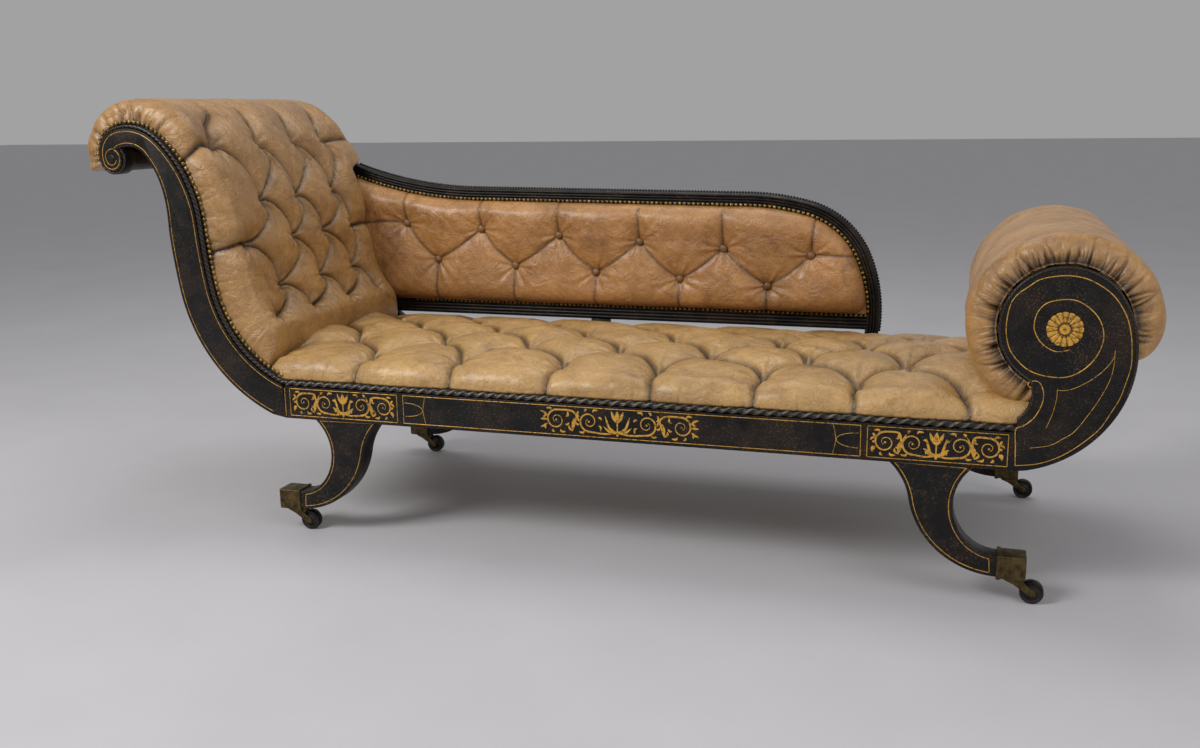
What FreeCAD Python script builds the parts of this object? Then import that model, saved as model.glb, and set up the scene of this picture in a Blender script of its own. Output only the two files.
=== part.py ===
import FreeCAD, Part
import os
from math import cos, degrees, hypot, pi, radians, sin

# A Regency recamier: a long seat frame on four sabre legs with castors, a high scrolled head end,
# a low scrolled foot end with a round bolster arm, and a low back along the rear two thirds.
# Side view: X runs from the head end to the foot end and Z is up. Y runs from front to back.
# All sizes are in millimetres.

# Seat frame
DEPTH = 620.0
RAIL_LENGTH = 1348.0
RAIL_BOTTOM = 231.5
RAIL_HEIGHT = 75.5
BOARD_THICK = 34.0
CROSS_RAIL_THICK = 30.0
CROSS_RAIL_DROP = 6.0
TENON_THICK = 12.0
TENON_LENGTH = 18.0
TENON_HEIGHT = 40.0
STRETCHER_COUNT = 2
STRETCHER_WIDTH = 45.0
STRETCHER_THICK = 28.0
STRETCHER_DROP = 14.0
CORNER_BLOCK = 62.0
CORNER_BLOCK_HEIGHT = 48.0

# Applied mouldings
MOULDING_WIDTH = 11.0
MOULDING_DEPTH = 9.0
MOULDING_BEVEL = 2.5

# Head end: the upper edge of the scrolled board runs from the rail in tangent arcs,
# each a radius and the angle that it turns, and the board hangs below that edge
HEAD_START_HEADING = 157.2
HEAD_SWEEP = (243.0, -57.4)
HEAD_BACK = (1132.0, -5.9)
HEAD_THROW = (241.3, 45.0)
HEAD_CREST = (107.6, 59.4)
HEAD_CURL = (55.4, 90.6)
HEAD_BOARD_WIDE = 76.0
HEAD_BOARD_NARROW = 42.0
HEAD_TAPER_START = 0.45
HEAD_TAPER_END = 0.83
VOLUTE_RADIUS = 30.0
HEAD_SLAT_COUNT = 6
HEAD_SLAT_THICK = 20.0
HEAD_SLAT_WIDTH = 52.0
HOUSING = 12.0
CREST_RADIUS = 24.0

# Foot end: the outer edge of the board runs from the rail into a round facing
FOOT_EASE = (92.0, 15.0)
FOOT_SWEEP = (198.7, 86.2)
FOOT_RISE = (163.2, 20.5)
FOOT_FACING = (98.9, 210.4)
FOOT_NECK = 12.0
PATERA_RADIUS = 28.0
PATERA_DEPTH = 4.0
PATERA_PETALS = 16
LATH_COUNT = 6
LATH_REACH = 99.5
LATH_FIRST_ANGLE = 50.0
LATH_LAST_ANGLE = 228.0
LATH_WIDTH = 44.0
LATH_THICK = 10.0
OUTER_PANEL_THICK = 6.0
OUTER_PANEL_INSET = 3.0

# Low back
BACK_JOIN_RUN = 472.0
BACK_START_HEADING = -22.3
BACK_SWOOP = (948.0, 21.6)
BACK_STRAIGHT = 638.0
BACK_FALL = (548.0, -14.0)
BACK_SHOULDER = (191.6, -51.9)
BACK_END = (319.8, -31.4)
BACK_RAIL_WIDTH = 28.0
BACK_THICK = 22.0
BACK_SETBACK = 2.0
BACK_GAP = 39.0
BACK_LOWER_RAIL = 34.0
BACK_SCARF_RUN = 0.36
BACK_SUPPORT_WIDTH = 42.0
BACK_SUPPORT_PLACE = -219.0

# Legs and castors
LEG_THICK = 40.0
LEG_SWEEP_TURN = 80.0
LEG_KNEE_RADIUS = 112.0
LEG_KNEE_TURN = 37.0
LEG_INSTEP_RADIUS = 71.4
LEG_INSTEP_TURN = 53.0
LEG_HOLLOW_TURN = 79.0
LEG_LIP = 7.0
LEG_TENON_WIDTH = 60.0
LEG_TENON_HEIGHT = 30.0
CASTOR_OVERHANG = 6.0
SOCKET_LENGTH = 46.0
SOCKET_HEIGHT = 40.0
SOCKET_BOTTOM = 44.0
SOCKET_WALL = 2.0
CASTOR_TRAIL = 34.0
WHEEL_RADIUS = 19.5
WHEEL_WIDTH = 18.0
AXLE_RADIUS = 2.6
FORK_CROWN = 11.0
FORK_CROWN_THICK = 4.0
FORK_CHEEK = 3.2
FORK_EYE = 5.6
PINTLE_RADIUS = 5.0
PINTLE_HEAD_RADIUS = 8.0
PINTLE_HEAD_SIDES = 6
PINTLE_HEAD = 3.0

# Running clearances
RUN_GAP = 0.05
SIDE_GAP = 0.3

# Upholstery
WEB_THICK = 2.0
WEB_WIDTH = 50.0
CLOTH_THICK = 1.5
WEB_LEDGE = 8.0
SEAT_LONG_COUNT = 5
SEAT_CROSS_COUNT = 11
BACK_STRAP_COUNT = 8
PAD_INSET = 9.0
SEAT_EDGE_RISE = 40.0
SEAT_CROWN = 66.0
SEAT_BACK_RISE = 34.0
SEAT_EDGE_ROUND = 36.0

# Deep buttoning: the tied-down points lie in rows that alternate, and the leather puffs between them
TUFT_SINK = 22.0
PLEAT_SINK = 7.0
SEAT_TUFT_LINES = (-901.0, -804.0, -708.0, -615.0, -515.0, -425.0, -334.0, -238.0, -139.0, -45.0,
                   46.0, 142.0, 245.0, 325.0, 410.0, 500.0, 590.0, 680.0, 775.0)
SEAT_TUFT_ROWS = (-243.0, -140.0, -30.0, 75.0, 180.0)
HEAD_TUFT_RUNS = (125.0, 212.0, 308.0, 395.0, 490.0)
HEAD_TUFT_LINES = (-236.0, -166.0, -93.0, -24.0, 45.0, 110.0, 172.0)
HEAD_TUFT_BORDER = 31.0
HEAD_TUFT_END = 560.0

# Head padding and the other soft pieces
HEAD_PAD_START = 72.0
HEAD_PAD_THICK = 67.0
HEAD_PAD_THIN = 50.0
HEAD_PAD_EASE_START = 0.40
HEAD_PAD_EASE_END = 0.62
ROLL_RADIUS = 150.0
ROLL_START_ANGLE = -25.0
ROLL_SWEEP_ANGLE = 270.0
BACK_PAD_PROUD = 40.0
COVER_THICK = 3.0
COVER_INSET = 5.0
BUTTON_RADIUS = 9.0
BUTTON_HEIGHT = 5.0
BUTTON_SIDES = 6
UPPER_BUTTON_COUNT = 6
UPPER_BUTTON_FIRST = -684.0
UPPER_BUTTON_PITCH = 189.0
UPPER_BUTTON_HEIGHT = 560.0
UPPER_BUTTON_FALL = 11.0
LOWER_BUTTON_COUNT = 5
LOWER_BUTTON_FIRST = -607.0
LOWER_BUTTON_PITCH = 194.0
LOWER_BUTTON_HEIGHT = 477.0
LOWER_BUTTON_FALL = 10.0

# Planes that several pieces share
FRONT = -DEPTH / 2
BACK = DEPTH / 2
INNER_FRONT = FRONT + BOARD_THICK
INNER_BACK = BACK - BOARD_THICK
HALF_RAIL = RAIL_LENGTH / 2
RAIL_TOP = RAIL_BOTTOM + RAIL_HEIGHT
WEB_SEAT = RAIL_TOP - 2 * WEB_THICK - CLOTH_THICK
BACK_REAR = BACK - BACK_SETBACK
BACK_FACE = BACK_REAR - BACK_THICK
LOWER_RAIL_BOTTOM = RAIL_TOP + BACK_GAP
LOWER_RAIL_TOP = LOWER_RAIL_BOTTOM + BACK_LOWER_RAIL
FAR = 3000.0


def vector(x, y, z):
    return FreeCAD.Vector(x, y, z)


def box(x0, x1, y0, y1, z0, z1):
    """A box between two corners."""
    return Part.makeBox(x1 - x0, y1 - y0, z1 - z0, vector(x0, y0, z0))


def cylinder(radius, base, along, length):
    return Part.makeCylinder(radius, length, base, along)


def prism(radius, sides, base, across, up, along):
    """A small many-sided piece that stands for a round one."""
    angles = [2 * pi * index / sides for index in range(sides + 1)]
    corners = [base + across * radius * cos(angle) + up * radius * sin(angle) for angle in angles]
    return Part.Face(Part.makePolygon(corners)).extrude(along)


def blend(run, start, end, before, after):
    """A value that eases from before to after between two distances along a path."""
    share = min(1.0, max(0.0, (run - start) / (end - start)))
    return before + (after - before) * share * share * (3 - 2 * share)


class Path:
    """Tangent arcs and straights in side view, measured by the distance run along them."""

    def __init__(self, start, heading, legs):
        self.pieces = []
        self.length = 0.0
        self.point = start
        self.heading = heading
        for size, turn in legs:
            self.add(size, turn)

    def add(self, size, turn):
        """An arc of this radius and turn in degrees, left turns positive, or a straight for no turn."""
        length = size * radians(abs(turn)) if turn else size
        curve = radians(turn) / length
        self.pieces.append((self.length, length, self.point, radians(self.heading), curve))
        self.point = self.at(self.length + length)
        self.heading += turn
        self.length += length

    def piece_at(self, run):
        found = self.pieces[0]
        for piece in self.pieces:
            if piece[0] <= run:
                found = piece
        return found

    def on(self, piece, run, offset=0.0):
        """The point on this piece at a distance, moved to the left of the path by the offset."""
        first, length, (x, z), heading, curve = piece
        step = run - first
        turned = heading + curve * step
        if curve:
            x += (sin(turned) - sin(heading)) / curve
            z -= (cos(turned) - cos(heading)) / curve
        else:
            x += step * cos(heading)
            z += step * sin(heading)
        return (x - offset * sin(turned), z + offset * cos(turned))

    def at(self, run, offset=0.0):
        return self.on(self.piece_at(run), run, offset)

    def direction(self, run):
        """The heading in degrees at this distance."""
        first, length, place, heading, curve = self.piece_at(run)
        return degrees(heading + curve * (run - first))

    def curve(self, run):
        """The curvature at this distance, positive where the path turns left."""
        return self.piece_at(run)[4]

    def centre(self, index):
        """The centre of one of the arcs."""
        first, length, (x, z), heading, curve = self.pieces[index]
        return (x - sin(heading) / curve, z + cos(heading) / curve)

    def edges(self, offset, y, start=0.0, end=None):
        """Edges along the path at an offset, which is a number or a function of the distance."""
        end = self.length if end is None else end
        shift = offset if callable(offset) else lambda run: offset
        result = []
        for piece in self.pieces:
            first, length, place, heading, curve = piece
            low = max(first, start)
            high = min(first + length, end)
            if high - low < 0.01:
                continue
            stops = [low, (low + high) / 2, high]
            points = [self.on(piece, run, shift(run)) for run in stops]
            corners = [vector(x, y, z) for x, z in points]
            if curve:
                result.append(Part.Arc(*corners).toShape())
            else:
                result.append(Part.makeLine(corners[0], corners[2]))
        return result


def joined(edges):
    """A closed wire from edges laid end to end, with a straight in each gap."""
    whole = []
    for index, edge in enumerate(edges):
        whole.append(edge)
        tail = edge.valueAt(edge.LastParameter)
        following = edges[(index + 1) % len(edges)]
        head = following.valueAt(following.FirstParameter)
        if (head - tail).Length > 1e-3:
            whole.append(Part.makeLine(tail, head))
    return Part.Wire(Part.__sortEdges__(whole))


def flipped(edges):
    """The same edges run the other way round."""
    turned = []
    for edge in reversed(edges):
        start = edge.valueAt(edge.FirstParameter)
        middle = edge.valueAt((edge.FirstParameter + edge.LastParameter) / 2)
        end = edge.valueAt(edge.LastParameter)
        if (middle - (start + end) * 0.5).Length < 1e-6:
            turned.append(Part.makeLine(end, start))
        else:
            turned.append(Part.Arc(end, middle, start).toShape())
    return turned


def strip_wire(path, near, far, y, start=0.0, end=None):
    """The outline of a band between two offsets of a path."""
    return joined(path.edges(near, y, start, end) + flipped(path.edges(far, y, start, end)))


def strip(path, near, far, y0, y1, start=0.0, end=None):
    """A band between two offsets of a path, as thick as the two planes are apart."""
    face = Part.Face(strip_wire(path, near, far, y0, start, end))
    return face.extrude(vector(0, y1 - y0, 0))


def mirrored(shape, normal):
    """The shape mirrored in the plane through the origin."""
    return shape.mirror(vector(0, 0, 0), normal)


def to_rear(shape):
    return mirrored(shape, vector(0, 1, 0))


def group(solids):
    """One node of separate solids."""
    return Part.makeCompound(solids)


def spread(count, first, last):
    """Evenly spaced places from first to last."""
    return [first + (last - first) * index / (count - 1) for index in range(count)]


# Paths that the pieces follow

head_path = Path((-HALF_RAIL, RAIL_TOP), HEAD_START_HEADING,
                 [HEAD_SWEEP, HEAD_BACK, HEAD_THROW, HEAD_CREST, HEAD_CURL])
foot_path = Path((HALF_RAIL, RAIL_BOTTOM), 0.0, [FOOT_EASE, FOOT_SWEEP, FOOT_RISE, FOOT_FACING])
back_path = Path(head_path.at(BACK_JOIN_RUN), BACK_START_HEADING,
                 [BACK_SWOOP, (BACK_STRAIGHT, 0), BACK_FALL, BACK_SHOULDER, BACK_END])
back_drop = (back_path.point[1] - RAIL_TOP) / sin(radians(-back_path.heading))
back_path.add(back_drop + HOUSING, 0)
FOOT_X, FOOT_Z = foot_path.centre(-1)
VOLUTE_X, VOLUTE_Z = head_path.at(head_path.length, VOLUTE_RADIUS)


def board_width(run):
    """The head board narrows from the rail to the volute."""
    return blend(run, HEAD_TAPER_START * head_path.length, HEAD_TAPER_END * head_path.length,
                 HEAD_BOARD_WIDE, HEAD_BOARD_NARROW)


def pad_depth(run):
    """The head padding thins where the board throws over."""
    return blend(run, HEAD_PAD_EASE_START * head_path.length, HEAD_PAD_EASE_END * head_path.length,
                 HEAD_PAD_THICK, HEAD_PAD_THIN)


# Seat frame

def cross_rail(x):
    """A rail from front to back with a tenon at each end."""
    z0 = RAIL_BOTTOM + CROSS_RAIL_DROP
    half = CROSS_RAIL_THICK / 2
    rail = box(x - half, x + half, INNER_FRONT, INNER_BACK, z0, WEB_SEAT)
    middle = (z0 + WEB_SEAT) / 2
    tenon = box(x - TENON_THICK / 2, x + TENON_THICK / 2, INNER_FRONT - TENON_LENGTH,
                INNER_BACK + TENON_LENGTH, middle - TENON_HEIGHT / 2, middle + TENON_HEIGHT / 2)
    return rail.fuse(tenon).removeSplitter()


def stretcher(x):
    """A bar that keeps the long rails apart, low enough to clear the webbing, with a tenon at each end."""
    top = WEB_SEAT - STRETCHER_DROP
    bottom = top - STRETCHER_THICK
    half = STRETCHER_WIDTH / 2
    bar = box(x - half, x + half, INNER_FRONT, INNER_BACK, bottom, top)
    shoulder = TENON_THICK / 2
    tenon = box(x - half + shoulder, x + half - shoulder, INNER_FRONT - TENON_LENGTH,
                INNER_BACK + TENON_LENGTH, bottom + shoulder, top - shoulder)
    return bar.fuse(tenon).removeSplitter()


def corner_block(side_x, side_y):
    """A three-cornered block glued into a corner of the seat frame."""
    x = side_x * (HALF_RAIL - CROSS_RAIL_THICK)
    y = side_y * INNER_BACK
    z = WEB_SEAT - CROSS_RAIL_DROP - CORNER_BLOCK_HEIGHT
    corners = [vector(x, y, z), vector(x - side_x * CORNER_BLOCK, y, z),
               vector(x, y - side_y * CORNER_BLOCK, z), vector(x, y, z)]
    return Part.Face(Part.makePolygon(corners)).extrude(vector(0, 0, CORNER_BLOCK_HEIGHT))


def long_rail():
    """The front rail, with a tenon at each end, a seat for the moulding and a ledge for the webbing."""
    rail = box(-HALF_RAIL, HALF_RAIL, FRONT, INNER_FRONT, RAIL_BOTTOM, RAIL_TOP)
    y = (FRONT + INNER_FRONT) / 2
    middle = (RAIL_BOTTOM + WEB_SEAT) / 2
    tenon = box(-HALF_RAIL - TENON_LENGTH, HALF_RAIL + TENON_LENGTH, y - TENON_THICK / 2,
                y + TENON_THICK / 2, middle - TENON_HEIGHT / 2, middle + TENON_HEIGHT / 2)
    ledge = box(-FAR, FAR, INNER_FRONT - WEB_LEDGE, INNER_FRONT + 1, WEB_SEAT, RAIL_TOP + 1)
    return rail.cut(ledge).fuse(tenon).removeSplitter()


def rail_moulding():
    """The bead along the top of the front rail, with its outer corner eased."""
    z = RAIL_TOP - MOULDING_WIDTH
    corners = [(FRONT, z), (FRONT, RAIL_TOP - MOULDING_BEVEL), (FRONT + MOULDING_BEVEL, RAIL_TOP),
               (FRONT + MOULDING_DEPTH, RAIL_TOP), (FRONT + MOULDING_DEPTH, z), (FRONT, z)]
    outline = Part.makePolygon([vector(-HALF_RAIL, y, height) for y, height in corners])
    return Part.Face(outline).extrude(vector(RAIL_LENGTH, 0, 0))


# Head end

def head_board():
    """The front scrolled board: a tapering band along the head path that ends in a round volute."""
    outer = head_path.edges(board_width, FRONT)
    first = outer[0].valueAt(outer[0].FirstParameter)
    ease = Part.makeLine(vector(-HALF_RAIL, FRONT, RAIL_BOTTOM), first)
    outline = joined([ease] + outer + flipped(head_path.edges(0.0, FRONT)))
    board = Part.Face(outline).extrude(vector(0, BOARD_THICK, 0))
    volute = cylinder(VOLUTE_RADIUS, vector(VOLUTE_X, FRONT, VOLUTE_Z), vector(0, 1, 0), BOARD_THICK)
    return board.fuse(volute).removeSplitter()


def head_moulding():
    """The bead that follows the upper edge of the front head board."""
    return strip(head_path, 0.0, MOULDING_WIDTH, FRONT, FRONT + MOULDING_DEPTH)


def head_slat(run):
    """A slat between the head boards, turned to lie along the path and housed in both boards."""
    sag = max(0.0, head_path.curve(run)) * HEAD_SLAT_WIDTH ** 2 / 8
    x, z = head_path.at(run, SIDE_GAP + sag)
    length = INNER_BACK - INNER_FRONT + 2 * HOUSING
    slat = box(-HEAD_SLAT_WIDTH / 2, HEAD_SLAT_WIDTH / 2, 0, length, 0, HEAD_SLAT_THICK)
    slat.rotate(vector(0, 0, 0), vector(0, 1, 0), -head_path.direction(run))
    slat.translate(vector(x, INNER_FRONT - HOUSING, z))
    return slat


def head_outer_cover():
    """The covering that closes the outside of the head end between the boards."""
    return strip(head_path, lambda run: board_width(run) - COVER_INSET,
                 lambda run: board_width(run) - COVER_INSET - COVER_THICK, INNER_FRONT, INNER_BACK,
                 HEAD_SLAT_WIDTH / 4, head_path.pieces[4][0])


def crest_rail():
    """The round rail between the volutes, housed in both boards."""
    return cylinder(CREST_RADIUS, vector(VOLUTE_X, INNER_FRONT - HOUSING, VOLUTE_Z), vector(0, 1, 0),
                    INNER_BACK - INNER_FRONT + 2 * HOUSING)


# Foot end

def foot_board():
    """The front foot board: the outer sweep, the round facing and the hollow neck above the rail."""
    sweep = foot_path.edges(0.0, FRONT)
    notch = sweep[-1].valueAt(sweep[-1].LastParameter)
    neck_foot = vector(HALF_RAIL, FRONT, RAIL_TOP + FOOT_NECK)
    bulge = vector(notch.x + FOOT_NECK / 3, FRONT, neck_foot.z + (notch.z - neck_foot.z) * 0.6)
    neck = Part.Arc(notch, bulge, neck_foot).toShape()
    side = Part.makeLine(neck_foot, vector(HALF_RAIL, FRONT, RAIL_BOTTOM))
    return Part.Face(joined(sweep + [neck, side])).extrude(vector(0, BOARD_THICK, 0))


def patera():
    """The round ornament let into the facing, with a side for each petal."""
    return prism(PATERA_RADIUS, PATERA_PETALS, vector(FOOT_X, FRONT, FOOT_Z), vector(1, 0, 0),
                 vector(0, 0, 1), vector(0, PATERA_DEPTH, 0))


def foot_lath(angle):
    """A lath of the round arm, let into the edge of both foot boards."""
    lath = box(LATH_REACH - LATH_THICK, LATH_REACH, INNER_FRONT - HOUSING, INNER_BACK + HOUSING,
               -LATH_WIDTH / 2, LATH_WIDTH / 2)
    lath.rotate(vector(0, 0, 0), vector(0, 1, 0), -angle)
    lath.translate(vector(FOOT_X, 0, FOOT_Z))
    return lath


def foot_outer_panel(roll):
    """The bent panel that closes the outside of the foot end between the boards."""
    panel = strip(foot_path, OUTER_PANEL_INSET, OUTER_PANEL_INSET + OUTER_PANEL_THICK,
                  INNER_FRONT, INNER_BACK, 0.0, foot_path.pieces[2][0])
    return panel.cut(roll)


# Low back

def back_area(inset, y0, y1):
    """Everything under the back path and above the seat rail, to the right of the head boards."""
    over = back_path.edges(-inset, y0)
    start = over[0].valueAt(over[0].FirstParameter)
    end = over[-1].valueAt(over[-1].LastParameter)
    corner = vector(start.x, y0, end.z)
    area = Part.Face(joined(over + [Part.makeLine(end, corner)])).extrude(vector(0, y1 - y0, 0))
    beyond = strip(head_path, 0.0, 2 * HEAD_BOARD_WIDE, y0 - 1, y1 + 1, 0.0, BACK_JOIN_RUN + BOARD_THICK)
    return area.cut(beyond)


def back_opening(y0, y1):
    """The space inside the back frame, which the padding and its webbing fill."""
    space = back_area(BACK_RAIL_WIDTH, y0, y1)
    return space.cut(box(-FAR, FAR, y0 - 1, y1 + 1, 0, LOWER_RAIL_TOP))


def back_pad():
    """The padding in the back frame, standing proud of it in front."""
    behind = BACK_REAR - COVER_INSET - COVER_THICK - 2 * WEB_THICK
    return back_opening(BACK_FACE - BACK_PAD_PROUD, behind)


def back_webbing(y):
    """Upright straps and one along the back, just in front of the plane at y."""
    opening = back_opening(y - 2 * WEB_THICK, y)
    half = WEB_WIDTH / 2
    height = (UPPER_BUTTON_HEIGHT + LOWER_BUTTON_HEIGHT) / 2 - WEB_WIDTH
    lanes = [box(-FAR, FAR, y - 2 * WEB_THICK, y - WEB_THICK, height - half, height + half)]
    first = back_path.at(0.0)[0] + 2 * WEB_WIDTH
    last = back_path.point[0] - 2 * WEB_WIDTH
    for x in spread(BACK_STRAP_COUNT, first, last):
        lanes.append(box(x - half, x + half, y - WEB_THICK, y, 0, FAR))
    return group([lane.common(opening).Solids[0] for lane in lanes])


def button(x, z):
    """A button on the face of the back padding."""
    return prism(BUTTON_RADIUS, BUTTON_SIDES, vector(x, BACK_FACE - BACK_PAD_PROUD, z),
                 vector(1, 0, 0), vector(0, 0, 1), vector(0, -BUTTON_HEIGHT, 0))


# Legs and castors

SOCKET_X = HALF_RAIL + CASTOR_OVERHANG
MOUTH_X = SOCKET_X - SOCKET_LENGTH / 2
LEG_Y = FRONT + SOCKET_WALL + LEG_THICK / 2
TOE_BOTTOM = SOCKET_BOTTOM + SOCKET_WALL
TOE_TOP = SOCKET_BOTTOM + SOCKET_HEIGHT - SOCKET_WALL


def rise_of(turn_from, turn_to):
    """How much an arc of unit radius climbs between two headings in degrees."""
    return abs(cos(radians(turn_from)) - cos(radians(turn_to)))


def leg():
    """The front foot leg: a sabre curve from the rail to a toe that fills the castor socket."""
    heel = 180 - LEG_SWEEP_TURN
    knee_rise = LEG_KNEE_RADIUS * rise_of(heel, heel + LEG_KNEE_TURN)
    sweep_radius = (RAIL_BOTTOM - TOE_BOTTOM - knee_rise) / rise_of(180, heel)
    instep = 180 - LEG_INSTEP_TURN
    lip = instep - LEG_HOLLOW_TURN
    hollow_rise = RAIL_BOTTOM - TOE_TOP - LEG_INSTEP_RADIUS * rise_of(180, instep) - LEG_LIP
    hollow_radius = hollow_rise / rise_of(instep, lip)
    outer = Path((MOUTH_X, TOE_BOTTOM), 180.0,
                 [(sweep_radius, -LEG_SWEEP_TURN), (LEG_KNEE_RADIUS, LEG_KNEE_TURN)])
    inner = Path((MOUTH_X, TOE_TOP), 180.0,
                 [(LEG_INSTEP_RADIUS, -LEG_INSTEP_TURN), (hollow_radius, -LEG_HOLLOW_TURN),
                  (LEG_LIP / sin(radians(lip)), 0)])
    y = LEG_Y - LEG_THICK / 2
    shape = Part.Face(joined(outer.edges(0.0, y) + flipped(inner.edges(0.0, y))))
    shape = shape.extrude(vector(0, LEG_THICK, 0))
    toe = box(MOUTH_X, SOCKET_X + SOCKET_LENGTH / 2 - SOCKET_WALL, y, y + LEG_THICK, TOE_BOTTOM, TOE_TOP)
    middle = (outer.point[0] + inner.point[0]) / 2
    rail_y = (FRONT + INNER_FRONT) / 2
    tenon = box(middle - LEG_TENON_WIDTH / 2, middle + LEG_TENON_WIDTH / 2, rail_y - TENON_THICK / 2,
                rail_y + TENON_THICK / 2, RAIL_BOTTOM - 1, RAIL_BOTTOM + LEG_TENON_HEIGHT)
    return shape.fuse([toe, tenon]).removeSplitter()


def socket():
    """The brass box that caps the toe, open towards the leg."""
    x0 = SOCKET_X - SOCKET_LENGTH / 2
    x1 = SOCKET_X + SOCKET_LENGTH / 2
    half = LEG_THICK / 2
    shell = box(x0, x1, LEG_Y - half - SOCKET_WALL, LEG_Y + half + SOCKET_WALL,
                SOCKET_BOTTOM, SOCKET_BOTTOM + SOCKET_HEIGHT)
    hollow = box(x0 - 1, x1 - SOCKET_WALL, LEG_Y - half, LEG_Y + half, TOE_BOTTOM, TOE_TOP)
    return shell.cut(hollow)


def pin_room(x, y):
    """The round hole in a socket that a castor pin turns in."""
    start = vector(x, y, SOCKET_BOTTOM - 1)
    return cylinder(PINTLE_RADIUS + RUN_GAP, start, vector(0, 0, 1), SOCKET_WALL + 2)


def head_room(x, y):
    """The square recess in a toe that clears the riveted head of the pin."""
    half = PINTLE_HEAD_RADIUS + SIDE_GAP + 1
    return box(x - half, x + half, y - half, y + half, TOE_BOTTOM - 1, TOE_BOTTOM + PINTLE_HEAD + 2)


def fork(x, y):
    """A castor fork: crown, two cheeks, the axle riveted between them, and the riveted upright pin."""
    top = SOCKET_BOTTOM - SIDE_GAP
    bottom = top - FORK_CROWN_THICK
    inner = WHEEL_WIDTH / 2 + SIDE_GAP
    outer = inner + FORK_CHEEK
    body = box(x - FORK_CROWN, x + FORK_CROWN, y - outer, y + outer, bottom, top)
    axle_x = x + CASTOR_TRAIL
    corners = [(x - FORK_CROWN, bottom), (x - FORK_CROWN, top), (x + FORK_CROWN, top),
               (axle_x + FORK_EYE, WHEEL_RADIUS + FORK_EYE / 2),
               (axle_x + FORK_EYE, WHEEL_RADIUS - FORK_EYE / 2),
               (axle_x, WHEEL_RADIUS - FORK_EYE), (axle_x - FORK_EYE, WHEEL_RADIUS - FORK_EYE / 2),
               (x - FORK_CROWN, bottom)]
    for y0 in (y - outer, y + inner):
        cheek = Part.Face(Part.makePolygon([vector(px, y0, pz) for px, pz in corners]))
        body = body.fuse(cheek.extrude(vector(0, FORK_CHEEK, 0)))
    up = vector(0, 0, 1)
    head_bottom = TOE_BOTTOM + SIDE_GAP
    pin = cylinder(PINTLE_RADIUS, vector(x, y, top), up, head_bottom - top)
    head = prism(PINTLE_HEAD_RADIUS, PINTLE_HEAD_SIDES, vector(x, y, head_bottom), vector(1, 0, 0),
                 vector(0, 1, 0), up * PINTLE_HEAD)
    axle = cylinder(AXLE_RADIUS, vector(axle_x, y - inner, WHEEL_RADIUS), vector(0, 1, 0), 2 * inner)
    return body.fuse([pin, head, axle]).removeSplitter()


def wheel(x, y):
    """A solid castor wheel, bored for its axle."""
    along = vector(0, 1, 0)
    start = vector(x + CASTOR_TRAIL, y - WHEEL_WIDTH / 2, WHEEL_RADIUS)
    bore = cylinder(AXLE_RADIUS + RUN_GAP, start, along, WHEEL_WIDTH)
    return cylinder(WHEEL_RADIUS, start, along, WHEEL_WIDTH).cut(bore)


# Upholstery

def seat_webbing(end_x, end_y):
    """Straps along the seat with a layer of straps across them, up to these ends."""
    half = WEB_WIDTH / 2
    middle = WEB_SEAT + WEB_THICK
    straps = []
    for y in spread(SEAT_LONG_COUNT, INNER_FRONT + WEB_WIDTH, INNER_BACK - WEB_WIDTH):
        straps.append(box(-end_x, end_x, y - half, y + half, WEB_SEAT, middle))
    for x in spread(SEAT_CROSS_COUNT, WEB_WIDTH - end_x, end_x - WEB_WIDTH):
        straps.append(box(x - half, x + half, -end_y, end_y, middle, middle + WEB_THICK))
    return group(straps)


def tied(row, column):
    """Whether the leather is tied down where this row and this line cross."""
    return (row + column) % 2 == 1


def facets(rows):
    """Triangles over rows of points, with each fold running straight between two tied points."""
    faces = []
    for row, (near, far) in enumerate(zip(rows, rows[1:])):
        for column in range(len(near) - 1):
            a, b, c, d = near[column], near[column + 1], far[column + 1], far[column]
            halves = [(a, b, c), (a, c, d)] if tied(row, column) else [(a, b, d), (b, c, d)]
            faces += [Part.Face(Part.makePolygon([*half, half[0]])) for half in halves]
    return faces


def closed(faces, outlines):
    """A solid from faces and the flat outlines that close them."""
    walls = [Part.Face(Part.makePolygon([*outline, outline[0]])) for outline in outlines]
    solid = Part.Solid(Part.Shell(faces + walls))
    if solid.Volume < 0:
        solid.reverse()
    return solid


def seat_tufting():
    """The buttoned cushion: folds between tied points, and pleats down the front and rear edges."""
    front = FRONT + PAD_INSET
    back = BACK_FACE - SIDE_GAP
    inset = SEAT_EDGE_ROUND
    edge = [(front, 0.0, 0.0), (front + inset * 0.25, SEAT_EDGE_RISE * 0.68, PLEAT_SINK / 2),
            (front + inset, SEAT_EDGE_RISE, PLEAT_SINK)]
    top = []
    for y in SEAT_TUFT_ROWS:
        fall, reach = (SEAT_CROWN - SEAT_EDGE_RISE, front) if y < 0 else (SEAT_CROWN - SEAT_BACK_RISE, back)
        top.append((y, SEAT_CROWN - fall * (y / reach) ** 2, TUFT_SINK))
    rear = [(back - inset, SEAT_BACK_RISE, PLEAT_SINK),
            (back - inset * 0.25, SEAT_BACK_RISE * 0.68, PLEAT_SINK / 2), (back, 0.0, 0.0)]
    rows = []
    for index, (y, rise, sink) in enumerate(edge + top + rear):
        bordering = index < len(edge) or index >= len(edge) + len(top)
        points = []
        for column, x in enumerate(SEAT_TUFT_LINES):
            down = column % 2 == 0 if bordering else tied(index, column)
            points.append(vector(x, y, RAIL_TOP + rise - (sink if down else 0)))
        rows.append(points)
    ends = [[row[0] for row in rows], [row[-1] for row in rows]]
    under = rows[0] + rows[-1][::-1]
    return closed(facets(rows), ends + [under])


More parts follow.
